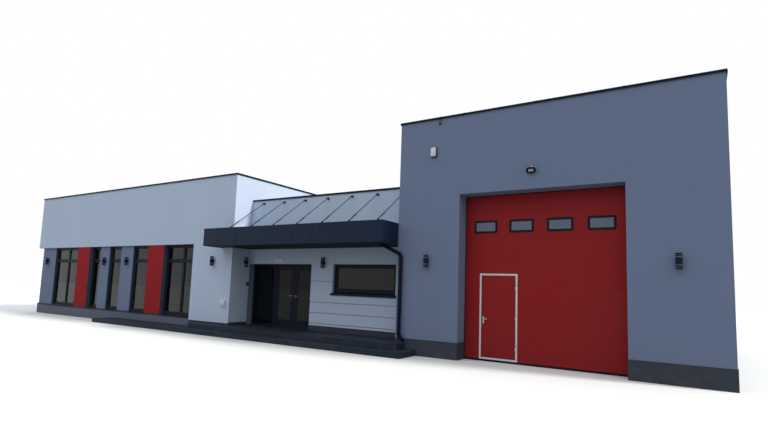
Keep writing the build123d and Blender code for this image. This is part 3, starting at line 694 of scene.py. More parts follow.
class Form:
    """A surface being gathered from arrays of points and faces, with a finish and a tone for each face."""

    def __init__(self) -> None:
        """Starts with nothing in it."""
        self.parts: list[tuple[Array, list[list[int]], Slot, Array]] = []

    def add(self, points: Array, faces: Iterable[Sequence[int]], slot: Slot, tone: Any = 0.0) -> "Form":
        """Adds a closed surface.

        Args:
            points: its points, in metres.
            faces: the point numbers of each face.
            slot: its finish.
            tone: one tone, or one for each face, for the finishes that read it.

        Returns:
            This form.
        """
        listed = [[int(v) for v in face] for face in faces]
        tones = np.broadcast_to(tone, (len(listed),))
        self.parts.append((np.asarray(points, float).reshape(-1, 3), listed, slot, tones))
        return self

    def grid(self, points: Array, slot: Slot, closed: bool = False, tone: float = 0.0) -> "Form":
        """Adds a grid of points whose rows are rings.

        Args:
            points: the rings.
            slot: its finish.
            closed: whether the last ring joins the first; if not, a flat face closes each end.
            tone: its tone.

        Returns:
            This form.
        """
        rows, columns = points.shape[:2]
        last = (rows - 1) * columns
        a, b = np.meshgrid(np.arange(rows if closed else rows - 1), np.arange(columns), indexing="ij")
        c, d = (a + 1) % rows, (b + 1) % columns
        sides = np.stack([a * columns + b, c * columns + b, c * columns + d, a * columns + d], -1)
        ends = [] if closed else [range(columns)[::-1], range(last, last + columns)]
        return self.add(points, [*sides.reshape(-1, 4), *ends], slot, tone)

    def sweep(
        self, path: Drawing, profile: Drawing, slot: Slot, lie: Lie, closed: bool = True, tone: float = 0.0
    ) -> "Form":
        """Adds a profile that is carried along a path."""
        return self.grid(carried(path, profile, lie, closed), slot, closed, tone)

    def extrude(self, outline: Drawing, start: float, end: float, slot: Slot) -> "Form":
        """Adds an outline carried straight along X.

        Args:
            outline: its points as (y, z).
            start: the x that it starts at.
            end: the x that it ends at.
            slot: its finish.

        Returns:
            This form.
        """
        flat = np.asarray(outline, float)
        rows = [np.concatenate([flat, np.full((len(flat), 1), w)], 1) for w in (start, end)]
        return self.grid(Lie.SIDE.place(np.stack(rows)), slot)

    def turn(
        self, profile: Drawing, axis: Spot, at: Spot, slot: Slot, sides: int = 24, closed: bool = False
    ) -> "Form":
        """Adds a turned solid: the point at angle t and step k is (r_k cos t, r_k sin t, h_k) about its axis.

        Args:
            profile: the steps as (radius, distance along the axis).
            axis: the axis.
            at: where the distance is 0.
            slot: its finish.
            sides: the points round it.
            closed: whether the profile runs round a ring's section.

        Returns:
            This form.
        """
        r, h = np.asarray(profile, float).T
        t = np.linspace(0, 2 * math.pi, sides, endpoint=False)
        rings = [np.outer(r, np.cos(t)), np.outer(r, np.sin(t)), np.repeat(h[:, None], sides, 1)]
        return self.grid(laid(np.stack(rings, -1), axis, at), slot, closed)

    def housing(
        self, size: Spot, steps: Drawing, axis: Spot, at: Spot, slot: Slot,
        square: float = 6.0, sides: int = 40,
    ) -> "Form":
        """Adds a moulded housing: its ring at step k is a superellipse, half the size times the step's scale,
        at the step's height.

        Args:
            size: its width and height.
            steps: the rings as (scale, height).
            axis: where it faces.
            at: the middle of its back.
            slot: its finish.
            square: the superellipse's power; more makes the corners tighter.
            sides: the points of a ring.

        Returns:
            This form.
        """
        t = np.linspace(0, 2 * math.pi, sides, endpoint=False) + math.pi / sides
        wave = np.stack([np.cos(t), np.sin(t)], -1)
        ring = np.sign(wave) * np.abs(wave) ** (2 / square) * (size[0], size[1]) / 2
        k, h = np.asarray(steps, float).T
        rings = [ring[None] * k[:, None, None], np.broadcast_to(h[:, None, None], (len(k), sides, 1))]
        return self.grid(laid(np.concatenate(rings, -1), axis, at), slot)

    def boxes(self, boxes: Drawing, bevel: float, slot: Slot, tones: Any = 0.0) -> "Form":
        """Adds boxes with their edges and corners cut off: a corner has a point on each of its three faces,
        which stands in from the box's other faces by the bevel.

        Args:
            boxes: the x0, x1, y0, y1, z0, z1 of each.
            bevel: the cut in metres.
            slot: their finish.
            tones: one tone, or one for each box.

        Returns:
            This form.
        """
        b = np.asarray(boxes, float).reshape(-1, 3, 2)
        centre, half = b.mean(2), (b[:, :, 1] - b[:, :, 0]) / 2
        signs = np.stack(np.meshgrid(*[(-1, 1)] * 3, indexing="ij"), -1).reshape(8, 3)
        kept = np.minimum(bevel, half.min(1) * 0.45)
        reach = half[:, None, :] - kept[:, None, None] * (1 - np.eye(3))[None]
        points = centre[:, None, None] + signs[None, :, None] * reach[:, None]
        flat, weights = [], (4, 2, 1)
        for axis, w in enumerate(weights):
            (i, p), (j, q) = [(k, v) for k, v in enumerate(weights) if k != axis]
            flat += [[(s + n) * 3 + axis for n in (0, p, p + q, q)] for s in (0, w)]
            flat += [[n * 3 + i, (n + w) * 3 + i, (n + w) * 3 + j, n * 3 + j] for n in (0, q, p, p + q)]
        cut = np.arange(24).reshape(8, 3)
        step = (np.arange(len(b)) * 24)[:, None, None]
        each = np.broadcast_to(tones, (len(b),))
        faces = [*(np.array(flat) + step).reshape(-1, 4), *(cut + step).reshape(-1, 3)]
        tone = np.concatenate([np.repeat(each, count) for count in (len(flat), len(cut))])
        return self.add(points, faces, slot, tone)

    def bolt(self, at: Spot, axis: Spot, r: float) -> "Form":
        """Adds a hexagon head on its washer.

        Args:
            at: where the washer lies.
            axis: where the head faces.
            r: about the head's radius.

        Returns:
            This form.
        """
        washer, head = [(1.7, 0.0), (1.7, 0.2), (1.5, 0.3)], [(1.1, 0.3), (1.1, 0.9), (0.9, 1.1)]
        self.turn(np.array(washer) * r, axis, at, Slot.STEEL, 16)
        return self.turn(np.array(head) * r, axis, at, Slot.STEEL, 6)

    def placed(self, shift: Spot, angle: float = 0.0) -> "Form":
        """The same surface elsewhere.

        Args:
            shift: how far it is moved.
            angle: how far it is turned about the upright axis first, in degrees.

        Returns:
            A new form.
        """
        c, s = math.cos(math.radians(angle)), math.sin(math.radians(angle))
        turn = np.array([[c, s, 0], [-s, c, 0], [0, 0, 1]])
        made = Form()
        made.parts = [(points @ turn + np.asarray(shift, float), *rest) for points, *rest in self.parts]
        return made

    def join(self, others: Iterable["Form"]) -> "Form":
        """Takes in other forms.

        Args:
            others: the forms.

        Returns:
            This form.
        """
        for other in others:
            self.parts += other.parts
        return self

    def piece(self, name: str, slot: Slot, replaces: Sequence[str] = (), body: str = "building") -> None:
        """Args:
            name: the piece's name.
            slot: not used.
            replaces: the CAD nodes that it stands for.
            body: the body that it rides on.
        """
        points, faces, finishes, tones = [], [], [], []
        used = list(dict.fromkeys(finish for _, _, finish, _ in self.parts))
        for own, turns, finish, shades in self.parts:
            faces += [[v + len(points) for v in face] for face in turns]
            points += own.tolist()
            finishes += [used.index(finish)] * len(turns)
            tones += shades.tolist()
        mesh = bpy.data.meshes.new(name)
        mesh.from_pydata(points, [], faces)
        for finish in used:
            mesh.materials.append(PALETTE.of(finish))
        mesh.polygons.foreach_set("material_index", np.array(finishes, np.int32))
        tone = mesh.attributes.new("slab_tone", "FLOAT", "FACE")
        tone.data.foreach_set("value", np.array(tones, np.float32))
        worked = bmesh.new()
        worked.from_mesh(mesh)
        bmesh.ops.recalc_face_normals(worked, faces=worked.faces)
        worked.to_mesh(mesh)
        worked.free()
        mesh.polygons.foreach_set("use_smooth", np.ones(len(mesh.polygons), bool))
        mesh.set_sharp_from_angle(angle=SMOOTH_BELOW)
        made = bpy.data.objects.new(name, mesh)
        bpy.context.scene.collection.objects.link(made)
        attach(made, body)
        if replaces:
            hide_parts(*replaces)
        LOG.info("%s: %d points, %d faces", name, len(mesh.vertices), len(mesh.polygons))


def node_box(name: str) -> tuple[Array, Array]:
    """A CAD node's low and high corner as arrays."""
    low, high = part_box(name)
    return np.array(low), np.array(high)


@dataclass
class Blocks:
    """The three blocks' outlines, read from the CAD nodes, and the sizes that several classes share."""

    wall: float = 0.40
    garage_wall: float = 0.45
    entrance: float = 2.830
    setback: float = 0.235
    foot: float = 0.290
    head: float = 2.390
    sill: float = 1.520
    window: float = 2.285
    window_in: float = 0.510
    door_in: float = 1.765
    door_width: float = 3.800
    pier_setback: float = 0.085
    tray: float = 0.060
    soffit: float = 0.025

    def __post_init__(self) -> None:
        """Reads each block as its left, right and top, and the places of its faces along Y."""
        names = ("hall_upper_wall", "garage_walls", "lobby_upper_wall", "garage_door_sections", "canopy")
        hall, garage, lobby, door, canopy = (node_box(name) for name in names)
        blocks = (hall, garage, lobby)
        self.hall, self.garage, self.lobby = ((low[0], high[0], high[2]) for low, high in blocks)
        self.front, self.back = hall[0][1], garage[1][1]
        self.lobby_front = lobby[0][1]
        self.lobby_back = self.back - (self.lobby_front - self.front)
        self.door = (self.garage[0] + self.door_in, self.garage[0] + self.door_in + self.door_width)
        self.door_face, self.door_back = door[0][1], door[1][1]
        self.canopy = canopy


BLOCKS = Blocks()


@dataclass
class Copings:
    """Folded sheet copings with hemmed drips, mitred corners and straps over their joints."""

    rise: float = 0.025
    fall: float = 0.008
    lip: float = 0.030
    drop: float = 0.035
    sheet: float = 0.002
    strap: float = 0.09
    spacing: float = 2.45
    gap: float = 0.002

    def section(self, wall: float, top: float, proud: float = 0.0, short: float = 0.0) -> Array:
        """The folded sheet's section over a wall.

        Args:
            wall: the wall's thickness.
            top: its height.
            proud: how far the sheet stands off another that it covers.
            short: how much shorter its drips are.

        Returns:
            Its points, as distance in from the wall's face and height.
        """
        out, low = self.sheet - self.lip - proud, top - self.drop + short
        far, crest = wall + self.lip - self.sheet + proud, top + self.rise - self.sheet + proud
        return np.concatenate([
            mm((0, 4), (5, 10), at=(out, low)), mm((5, -3), (8, 0), at=(out, crest)),
            mm((-8, 0), (-5, -3), at=(far, crest - self.fall)),
            mm((-5, 10), (0, 4), (-3, 0), (-10, 11), at=(far, low)), mm((-10, 2), at=(far, top)),
            mm((10, 2), at=(out, top)), mm((10, 11), (3, 0), at=(out, low)),
        ])

    def build(self) -> None:
        """Makes the copings of the three blocks, with straps over each straight run's joints."""
        b, form = BLOCKS, Form()
        runs = [
            (corners(x0, x1, b.front, b.back), wall, top, True)
            for (x0, x1, top), wall in ((b.hall, b.wall), (b.garage, b.garage_wall))
        ]
        x0, x1 = b.lobby[0] + self.gap, b.lobby[1] - self.gap
        for y, ends in ((b.lobby_front, (x0, x1)), (b.lobby_back, (x1, x0))):
            runs.append((np.array([[x, y] for x in ends]), b.wall, b.lobby[2], False))
        for path, wall, top, closed in runs:
            form.sweep(path, self.section(wall, top), Slot.METAL, Lie.PLAN, closed)
            strap = self.section(wall, top, self.sheet - 0.0002, 0.004)
            for start, end in zip(path, np.roll(path, -1, 0) if closed else path[1:]):
                span = np.linalg.norm(end - start)
                way = (end - start) / span
                count = max(1, int(span // self.spacing))
                for k in range(1, count + 1):
                    ends = about(start + way * span * k / (count + 1), way * self.strap / 2)
                    form.sweep(ends, strap, Slot.METAL, Lie.PLAN, False)
        form.piece("folded_copings", Slot.METAL, ["parapet_copings"])


@dataclass
class RoofSheets:
    """Felt in overlapping sheets, with an upstand and a clamping bar round the parapets."""

    sheet_width: float = 1.0
    lap: float = 0.10
    thickness: float = 0.005
    upstand: float = 0.15
    below_top: float = 0.23

    def build(self) -> None:
        """Makes the sheets and upstands of the three roofs; a sheet's edge waves slowly along its length."""
        b, form, rng = BLOCKS, Form(), np.random.default_rng(11)
        for (x0, x1, top), inset, wall, front, back in (
            (b.hall, b.wall, b.wall, b.front, b.back),
            (b.garage, b.garage_wall, b.garage_wall, b.front, b.back),
            (b.lobby, 0.0, b.wall, b.lobby_front, b.lobby_back),
        ):
            left, right, near, far = x0 + inset, x1 - inset, front + wall, back - wall
            z, step = top - self.below_top, self.sheet_width - self.lap
            for i in range(int(np.ceil((far - near) / step))):
                u = np.linspace(left, right, 40)
                wave = (0.004 * np.sin(u * 3.1 + i) + 0.003 * np.sin(u * 7.7 + 2 * i)) * (i > 0)
                edge, wide = near + i * step + wave, min(near + i * step + self.sheet_width, far)
                lift = self.thickness * (0.35 + 0.65 * (i % 2))
                lines = ((edge, z), (edge, z + lift), (wide, z + self.thickness), (wide, z))
                rows = [np.stack(np.broadcast_arrays(u, y, h), -1) for y, h in lines]
                form.grid(np.stack(rows, 1), Slot.FELT, tone=rng.uniform(0, 0.8))
            path, rise = corners(left, right, near, far), self.upstand * 1000
            fillet = mm((0, 0), (0, rise), (6, rise), (6, 50), (50, 6), (90, 6), (90, 0), at=(0, z))
            form.sweep(path, fillet, Slot.FELT, Lie.PLAN, tone=0.5)
            bar = mm((6, -30), (6, -4), (10, 0), (11, -30), at=(0, z + self.upstand))
            form.sweep(path, bar, Slot.STEEL, Lie.PLAN)
        form.piece("roof_sheets", Slot.FELT)


@dataclass
class Beads:
    """Glazing beads and black gaskets on both faces of a pane."""

    width: float = 0.016
    gasket: float = 0.004
    set_back: float = 0.006

    def add(self, form: Form, opening: Spot, depths: Spot) -> None:
        """Adds the beads and gaskets of one pane.

        Args:
            form: the form that takes them.
            opening: the clear opening's x0, x1, z0 and z1.
            depths: the front of the frame and of the pane, the back of the pane and of the frame.
        """
        path, bead, gasket = corners(*opening), self.width, self.gasket
        for rim, pane in (depths[:2], depths[:1:-1]):
            way = 1.0 if pane > rim else -1.0
            start, end = rim + way * self.set_back, pane - way * gasket
            slope = (bead * 0.8, start + way * 0.004)
            splay = [(0.0, start), (bead * 0.45, start), slope, (bead, end), (0.0, end)]
            form.sweep(path, splay, Slot.METAL, Lie.FRONT)
            lip = (bead + 0.005, end + way * gasket * 0.6)
            seal = [(0.0, end), (bead + 0.002, end), lip, (bead + 0.004, pane), (0.0, pane)]
            form.sweep(path, seal, Slot.RUBBER, Lie.FRONT)


class Bay(Enum):
    """What stands in a bay of the hall's front."""

    GREY = "grey pier"
    RED = "red pier"
    WINDOW = "window"


@dataclass
class Windows:
    """Beads, gaskets and drainage caps of the fixed windows, in the frames that the CAD gives."""

    bar: float = 0.100
    depth: float = 0.090
    glass: float = 0.020
    overhang: float = 0.300
    bays: tuple[tuple[Bay, float], ...] = (
        (Bay.GREY, 1.220), (Bay.WINDOW, 2.140), (Bay.RED, 1.000), (Bay.WINDOW, 0.720), (Bay.GREY, 0.680),
        (Bay.WINDOW, 0.870), (Bay.GREY, 0.850), (Bay.WINDOW, 1.130), (Bay.RED, 0.990), (Bay.WINDOW, 1.740),
    )
    mullions: tuple[tuple[float, ...], ...] = ((1.070,), (), (), (), (1.020,))
    foot: float = 0.450
    head: float = 3.050
    transom: float = 2.450
    setback: float = 0.160
    small_setback: float = 0.090
    back_places: tuple[float, ...] = (2.700, 6.400, 10.100)

    def hall_bays(self) -> list[tuple[float, float, float, float]]:
        """Finds the hall windows between the piers.

        Returns:
            Each window's x0 and x1, and the faces of the piers to its left and right.
        """
        face = {Bay.GREY: BLOCKS.front + BLOCKS.pier_setback, Bay.RED: BLOCKS.front, Bay.WINDOW: 0.0}
        faces = [face[kind] for kind, _ in self.bays] + [BLOCKS.front]
        found, x = [], BLOCKS.hall[0] + self.overhang
        for k, (kind, width) in enumerate(self.bays):
            if kind is Bay.WINDOW:
                found.append((x, x + width, faces[k - 1], faces[k + 1]))
            x += width
        return found

    def openings(self) -> list[tuple[float, float, float, float, float]]:
        """Finds the clear openings of all windows.

        Returns:
            Each one's x0, x1, z0 and z1, and the front of its frame.
        """
        b, found, half = BLOCKS, [], self.bar / 2
        rows = [self.foot + half, self.transom, self.head - half]
        for (x0, x1, _, _), mullions in zip(self.hall_bays(), self.mullions):
            places = [x0 + half, *(x0 + m for m in mullions), x1 - half]
            for left, right in zip(places, places[1:]):
                for low, high in zip(rows, rows[1:]):
                    found.append((left + half, right - half, low + half, high - half, b.front + self.setback))
        inset = self.small_setback + self.depth
        small = [(b.lobby[1] - b.window_in - b.window / 2, b.lobby_front + self.small_setback)]
        small += [(b.hall[0] + x, b.back - inset) for x in self.back_places]
        small.append(((b.lobby[0] + b.lobby[1]) / 2, b.lobby_back - inset))
        for x, y in small:
            found.append((*about(x, b.window / 2 - self.bar), b.sill + self.bar, b.head - self.bar, y))
        return found

    def build(self) -> None:
        """Makes the beads, gaskets and drainage caps."""
        form, caps = Form(), []
        inset = (self.depth - self.glass) / 2
        for x0, x1, z0, z1, y in self.openings():
            back = y + self.depth
            Beads().add(form, (x0, x1, z0, z1), (y, y + inset, y + inset + self.glass, back))
            face = (y - 0.005, y) if y < 0 else (back, back + 0.005)
            caps += [(*about(at, 0.018), *face, z0 - 0.048, z0 - 0.036) for at in (x0 + 0.15, x1 - 0.15)]
        form.boxes(caps, 0.0025, Slot.BLACK_PLASTIC).piece("window_beads", Slot.METAL)


@dataclass
class Steps:
    """Stone slabs on the two steps: treads over riser slabs, with open joints, on a dark core."""

    slab: float = 0.60
    deep: float = 0.41
    thick: float = 0.030
    joint: float = 0.004
    edge: float = 0.004
    riser_in: float = 0.034

    def cut(self, start: float, end: float, size: float) -> list[tuple[float, float]]:
        """A length cut into about equal slabs with open joints between them."""
        marks = np.linspace(start, end, max(1, round((end - start) / size)) + 1)
        return [(a + self.joint / 2, c - self.joint / 2) for a, c in zip(marks, marks[1:])]

    def build(self) -> None:
        """Makes the slabs of both steps as one piece."""
        b, t, r = BLOCKS, self.thick, self.riser_in
        (x0, y0, _), (x1, _, top) = node_box("lower_step")
        (u0, v0, _), (u1, _, up_top) = node_box("upper_step")
        left, right, garage, lobby = b.lobby[0], b.lobby[1], b.garage[0], b.lobby_front
        door, plinth, wall = left + b.entrance, b.front - 0.012, b.front + 0.020
        under, back, behind = v0 + 0.03, v0 + self.deep, lobby + b.wall
        lower = ((x0, x1, y0, under), (x0, u0, under, wall), (u1, x1, under, plinth))
        upper = (
            (u0, garage, v0, back), (garage, u1, v0, plinth), (u0, garage, back, wall),
            (left, right, wall, lobby + 0.020), (left, door, lobby + 0.020, behind),
        )
        boxes: list[tuple[float, ...]] = []
        steps = ((lower, (x0, x1, y0), 0.0, top), (upper, (u0, u1, v0), top, up_top))
        for treads, (a, c, y), z0, z1 in steps:
            for p, q, near, far in treads:
                boxes += [
                    (*across, *along, z1 - t, z1)
                    for across in self.cut(p, q, self.slab) for along in self.cut(near, far, self.deep)
                ]
            boxes += [(*across, y + 0.004, y + r, z0, z1 - t - 0.001) for across in self.cut(a, c, self.slab)]
        for x, way, near, far, z0, z1 in (
            (x0, 1, y0, wall, 0.0, top), (x1, -1, y0, plinth, 0.0, top),
            (u0, 1, v0, wall, top, up_top), (u1, -1, v0, plinth, top, up_top),
        ):
            boxes.append((*sorted((x + way * 0.004, x + way * r)), near + r, far, z0, z1 - t - 0.001))
        tones = np.random.default_rng(5).uniform(0.0, 1.0, len(boxes))
        form = Form().boxes(boxes, self.edge, Slot.STONE, tones)
        near, far = b.front - 0.013, b.front + 0.019
        low, high = (0.0, top - t), (top - t, up_top - t)
        core = [
            (x0 + r, x1 - r, y0 + r, near, *low), (x0 + r, left - 0.001, near, far, *low),
            (left, right, near, lobby + 0.019, 0.0, up_top - t),
            (left, door, lobby + 0.019, behind, 0.0, up_top - t),
            (u0 + r, u1 - r, v0 + r, near, *high), (u0 + r, left - 0.001, near, far, *high),
        ]
        form.boxes(core, 0.001, Slot.STONE, 1.0)
        form.piece("step_slabs", Slot.STONE, ["lower_step", "upper_step"])


@dataclass
class Lever:
    """A lever handle: a plate, a neck and a lock on it, and a round lever with a turned-in end."""

    plate: tuple[float, float] = (0.032, 0.170)
    plate_drop: float = 0.025
    lock_drop: float = 0.072
    bend: float = 0.018
    reach: float = 0.043
    run: float = 0.078
    end: float = 0.012
    plate_slot: Slot = Slot.BLACK_PLASTIC

    def add(self, form: Form, neck: Spot, outward: int, lever_to: int) -> None:
        """Adds the handle to one face of a leaf.

        Args:
            form: the form that takes it.
            neck: where its neck meets the leaf's face.
            outward: -1 where the face looks to the front, 1 where it looks back.
            lever_to: the side that the lever points to, along X.
        """
        x, face, z = neck
        way, start = (0, outward, 0), face + outward * 0.0005
        steps = [(0.96, 0.0), (1.0, 0.003), (1.0, 0.006), (0.94, 0.008), (0.88, 0.0085)]
        form.housing(self.plate, steps, way, (x, start, z - self.plate_drop), self.plate_slot, 5.0)
        form.turn(mm((12.5, 8), (12.5, 11), (9.5, 13), (9, 36)), way, (x, start, z), Slot.STEEL)
        form.turn(mm((8.5, 8), (8.5, 10.5), (7, 11.5)), way, (x, start, z - self.lock_drop), Slot.STEEL)
        bend, reach, run, end = self.bend, self.reach, self.run, self.end
        t, tip = np.linspace(0, math.pi / 2, 9), np.linspace(0, math.radians(75), 7)[1:]
        side = np.concatenate([bend * (1 - np.cos(t)), [bend + run], bend + run + end * np.sin(tip)])
        out = np.concatenate([reach - bend + bend * np.sin(t), [reach], reach - end * (1 - np.cos(tip))])
        path = np.stack([x + lever_to * side, start + outward * out, np.full_like(side, z)], -1)
        radius = np.concatenate([np.full(9, 0.0092), [0.0086], np.linspace(0.0085, 0.0070, 6)])
        form.grid(tube(path, radius, 16, UPWARD), Slot.STEEL)


@dataclass
class Reveals:
    """Folded sheets that line the hall windows' reveals, whose dark blue colour is also painted shade in the
    reveals, and the sloping sheet sills at their feet.
    """

    sheet: float = 0.003
    short: float = 0.002
    lip: float = -0.008
    pier_depth: float = 0.399
    side_gap: float = 0.004

    def build(self, windows: Windows) -> None:
        """Makes the linings of every hall window as one piece.

        Args:
            windows: the windows that they line.
        """
        form, boxes, b, gap = Form(), [], BLOCKS, self.side_gap
        rim, foot, head = b.front + windows.setback, windows.foot, windows.head
        lip = b.front + self.lip
        for x0, x1, left_face, right_face in windows.hall_bays():
            for x, inward, face in ((x0, 1, left_face), (x1, -1, right_face)):
                for near, far in ((face + self.short, rim), (rim + windows.depth, b.front + self.pier_depth)):
                    sides = sorted((x + inward * 0.0005, x + inward * (self.sheet + 0.0005)))
                    boxes.append((*sides, near, far, foot + 0.001, head - 0.001))
            shallow = max(left_face, right_face) + self.short
            boxes.append((x0 + gap, x1 - gap, shallow, rim, head - 0.004, head - 0.0005))
            rise = mm((0, 0.5), (0, 20), (-2, 20), (-3, 14), at=(rim, foot))
            nose = mm((0, 5), (-2, 3), (-2, -22), (2, -26), (3, -24), (0, -20), (0, 0.5), at=(lip, foot))
            form.extrude([*rise, *nose], x0 + gap, x1 - gap, Slot.METAL)
        # The linings' dark blue is a real lining and also painted shade in the reveals.
        form.boxes(boxes, 0.0008, Slot.LINING).piece("reveal_linings_and_shade", Slot.METAL)


@dataclass
class WallTrim:
    """Channels in the lobby wall's grooves, whose darker colour paints the grooves' shade, grey render
    linings of the entrance recess, which paint its shade, and the dark strips at the feet of the hall's side
    wall and of the garage opening's sides."""

    levels: tuple[float, ...] = (0.530, 0.860, 1.190, 1.850)
    half: float = 0.0137
    depth: float = 0.0147
    sheet: float = 0.0015
    lining: float = 0.0035
    strip_top: float = 0.385
    strip: float = 0.006
    plinth: float = 0.012
    plinth_top: float = 0.420

    def channels(self) -> None:
        """A shallow channel section (y, z) carried along each groove, on both sides of the window; its darker
        colour is painted shade in the grooves.
        """
        form, b, h, t = Form(), BLOCKS, self.half, self.sheet
        start, end = b.lobby[0] + b.entrance + 0.002, b.lobby[1] - 0.002
        right = b.lobby[1] - b.window_in
        y, deep = b.lobby_front + 0.0010, b.lobby_front + self.depth
        upper = [(deep, h), (y, h), (y, h - t), (deep - t, h - t)]
        outline = [(y, -h), (deep, -h), *upper, (deep - t, t - h), (y, t - h)]
        for z in self.levels:
            split = ((start, right - b.window - 0.002), (right + 0.002, end))
            for a, c in split if b.sill < z < b.head else ((start, end),):
                # The channels' darker blue-grey paints the shade inside the grooves.
                form.extrude(np.array(outline) + (0.0, z), a, c, Slot.JOINT)
        form.piece("groove_shade_channels", Slot.METAL)

    def linings(self) -> None:
        """Grey render sheets on both sides and the head of the entrance recess: painted shade on its white
        walls.
        """
        b, t = BLOCKS, self.lining
        x0, x1 = b.lobby[0], b.lobby[0] + b.entrance
        depth = (b.lobby_front + 0.001, b.lobby_front + b.setback - 0.0065)
        height = (b.foot + 0.001, b.head - 0.001)
        boxes = [
            (x0 + 0.0005, x0 + t, *depth, *height), (x1 - t, x1 - 0.0005, *depth, *height),
            (x0 + t + 0.0005, x1 - t - 0.0005, *depth, b.head - t, b.head - 0.0005),
        ]
        # Grey render sheets: painted shade on the recess's sides and head, whose walls are white.
        Form().boxes(boxes, 0.0008, Slot.GREY_RENDER).piece("entrance_shade_linings", Slot.GREY_RENDER)

    def feet(self) -> None:
        """The strip along the foot of the hall's side wall, and the plinth turned into the garage opening."""
        b, hair = BLOCKS, 0.0004
        side, (left, right) = b.hall[1], b.door
        turned = (b.front + 0.001, b.door_face - 0.022, 0.0005, self.plinth_top)
        along = (b.front + 0.022, b.lobby_front - 0.001)
        boxes = [
            (side + hair, side + self.strip, *along, b.foot + 0.0006, self.strip_top),
            (left + hair, left + self.plinth, *turned), (right - self.plinth, right - hair, *turned),
        ]
        Form().boxes(boxes, 0.0025, Slot.MOSAIC).piece("foot_strips", Slot.MOSAIC)

    def build(self) -> None:
        """Makes the three pieces."""
        self.channels()
        self.linings()
        self.feet()


class Leaf(Enum):
    """An entrance leaf, as its name in the record and the way that its levers point along X."""

    LEFT = ("left", -1)
    RIGHT = ("right", 1)


@dataclass
class Entrance:
    """Glazing beads, seals, handles and the threshold of the entrance doors and their sidelight."""

    frame_depth: float = 0.070
    glass: float = 0.020
    bar: float = 0.060
    sidelight: float = 0.990
    post: float = 0.080
    leaf_inset: float = 0.020
    handle_z: float = 1.340
    handle_in: float = 0.060

    def leaf(self, leaf: Leaf) -> None:
        """Makes the beads and handles of one leaf, which ride with it.

        Args:
            leaf: the leaf.
        """
        side, lever_to = leaf.value
        (x0, near, z0), (x1, far, z1) = node_box(f"{side}_door_glass")
        front, back = near - self.leaf_inset, far + self.leaf_inset
        form, handles = Form(), Form()
        Beads(0.018).add(form, (x0, x1, z0, z1), (front, near, far, back))
        (x0, _, z0), (x1, _, z1) = node_box(f"{side}_door_leaf")
        meeting = x1 if lever_to < 0 else x0
        ends = sorted((meeting, meeting - lever_to * 0.003))
        form.boxes([(*ends, front + 0.010, front + 0.020, z0 + 0.004, z1 - 0.004)], 0.001, Slot.RUBBER)
        form.piece(f"{side}_leaf_beads", Slot.METAL, body=f"{side}_door")
        for face, outward in ((front, -1), (back, 1)):
            neck = (meeting + lever_to * self.handle_in, face, self.handle_z)
            Lever().add(handles, neck, outward, lever_to)
        handles.piece(f"{side}_levers", Slot.STEEL, [f"{side}_door_handle"], f"{side}_door")

    def build(self) -> None:
        """Makes the parts of both leaves and of the fixed frame."""
        for leaf in Leaf:
            self.leaf(leaf)
        b, form = BLOCKS, Form()
        face, far = b.lobby_front + b.setback, b.lobby[0] + b.entrance
        pane = face + (self.frame_depth - self.glass) / 2
        x0, x1 = b.lobby[0] + self.bar, b.lobby[0] + self.sidelight
        opening = (x0, x1, b.foot + self.bar, b.head - self.bar)
        Beads().add(form, opening, (face, pane, pane + self.glass, face + self.frame_depth))
        threshold = mm((-20, 0), (-16, 3), (-2, 5), (66, 5), (80, 3), (84, 0), at=(face, b.foot + 0.0004))
        form.extrude(threshold, x1 + self.post + 0.001, far - self.bar - 0.001, Slot.STEEL)
        outline = [(b.lobby[0], b.foot), (b.lobby[0], b.head), (far, b.head), (far, b.foot)]
        mastic = mm((0, -6), (-9, -1), (-9, 1), (0, 1), at=(0, face))
        form.sweep(outline, mastic, Slot.RUBBER, Lie.FRONT, False)
        form.piece("entrance_trim", Slot.METAL)


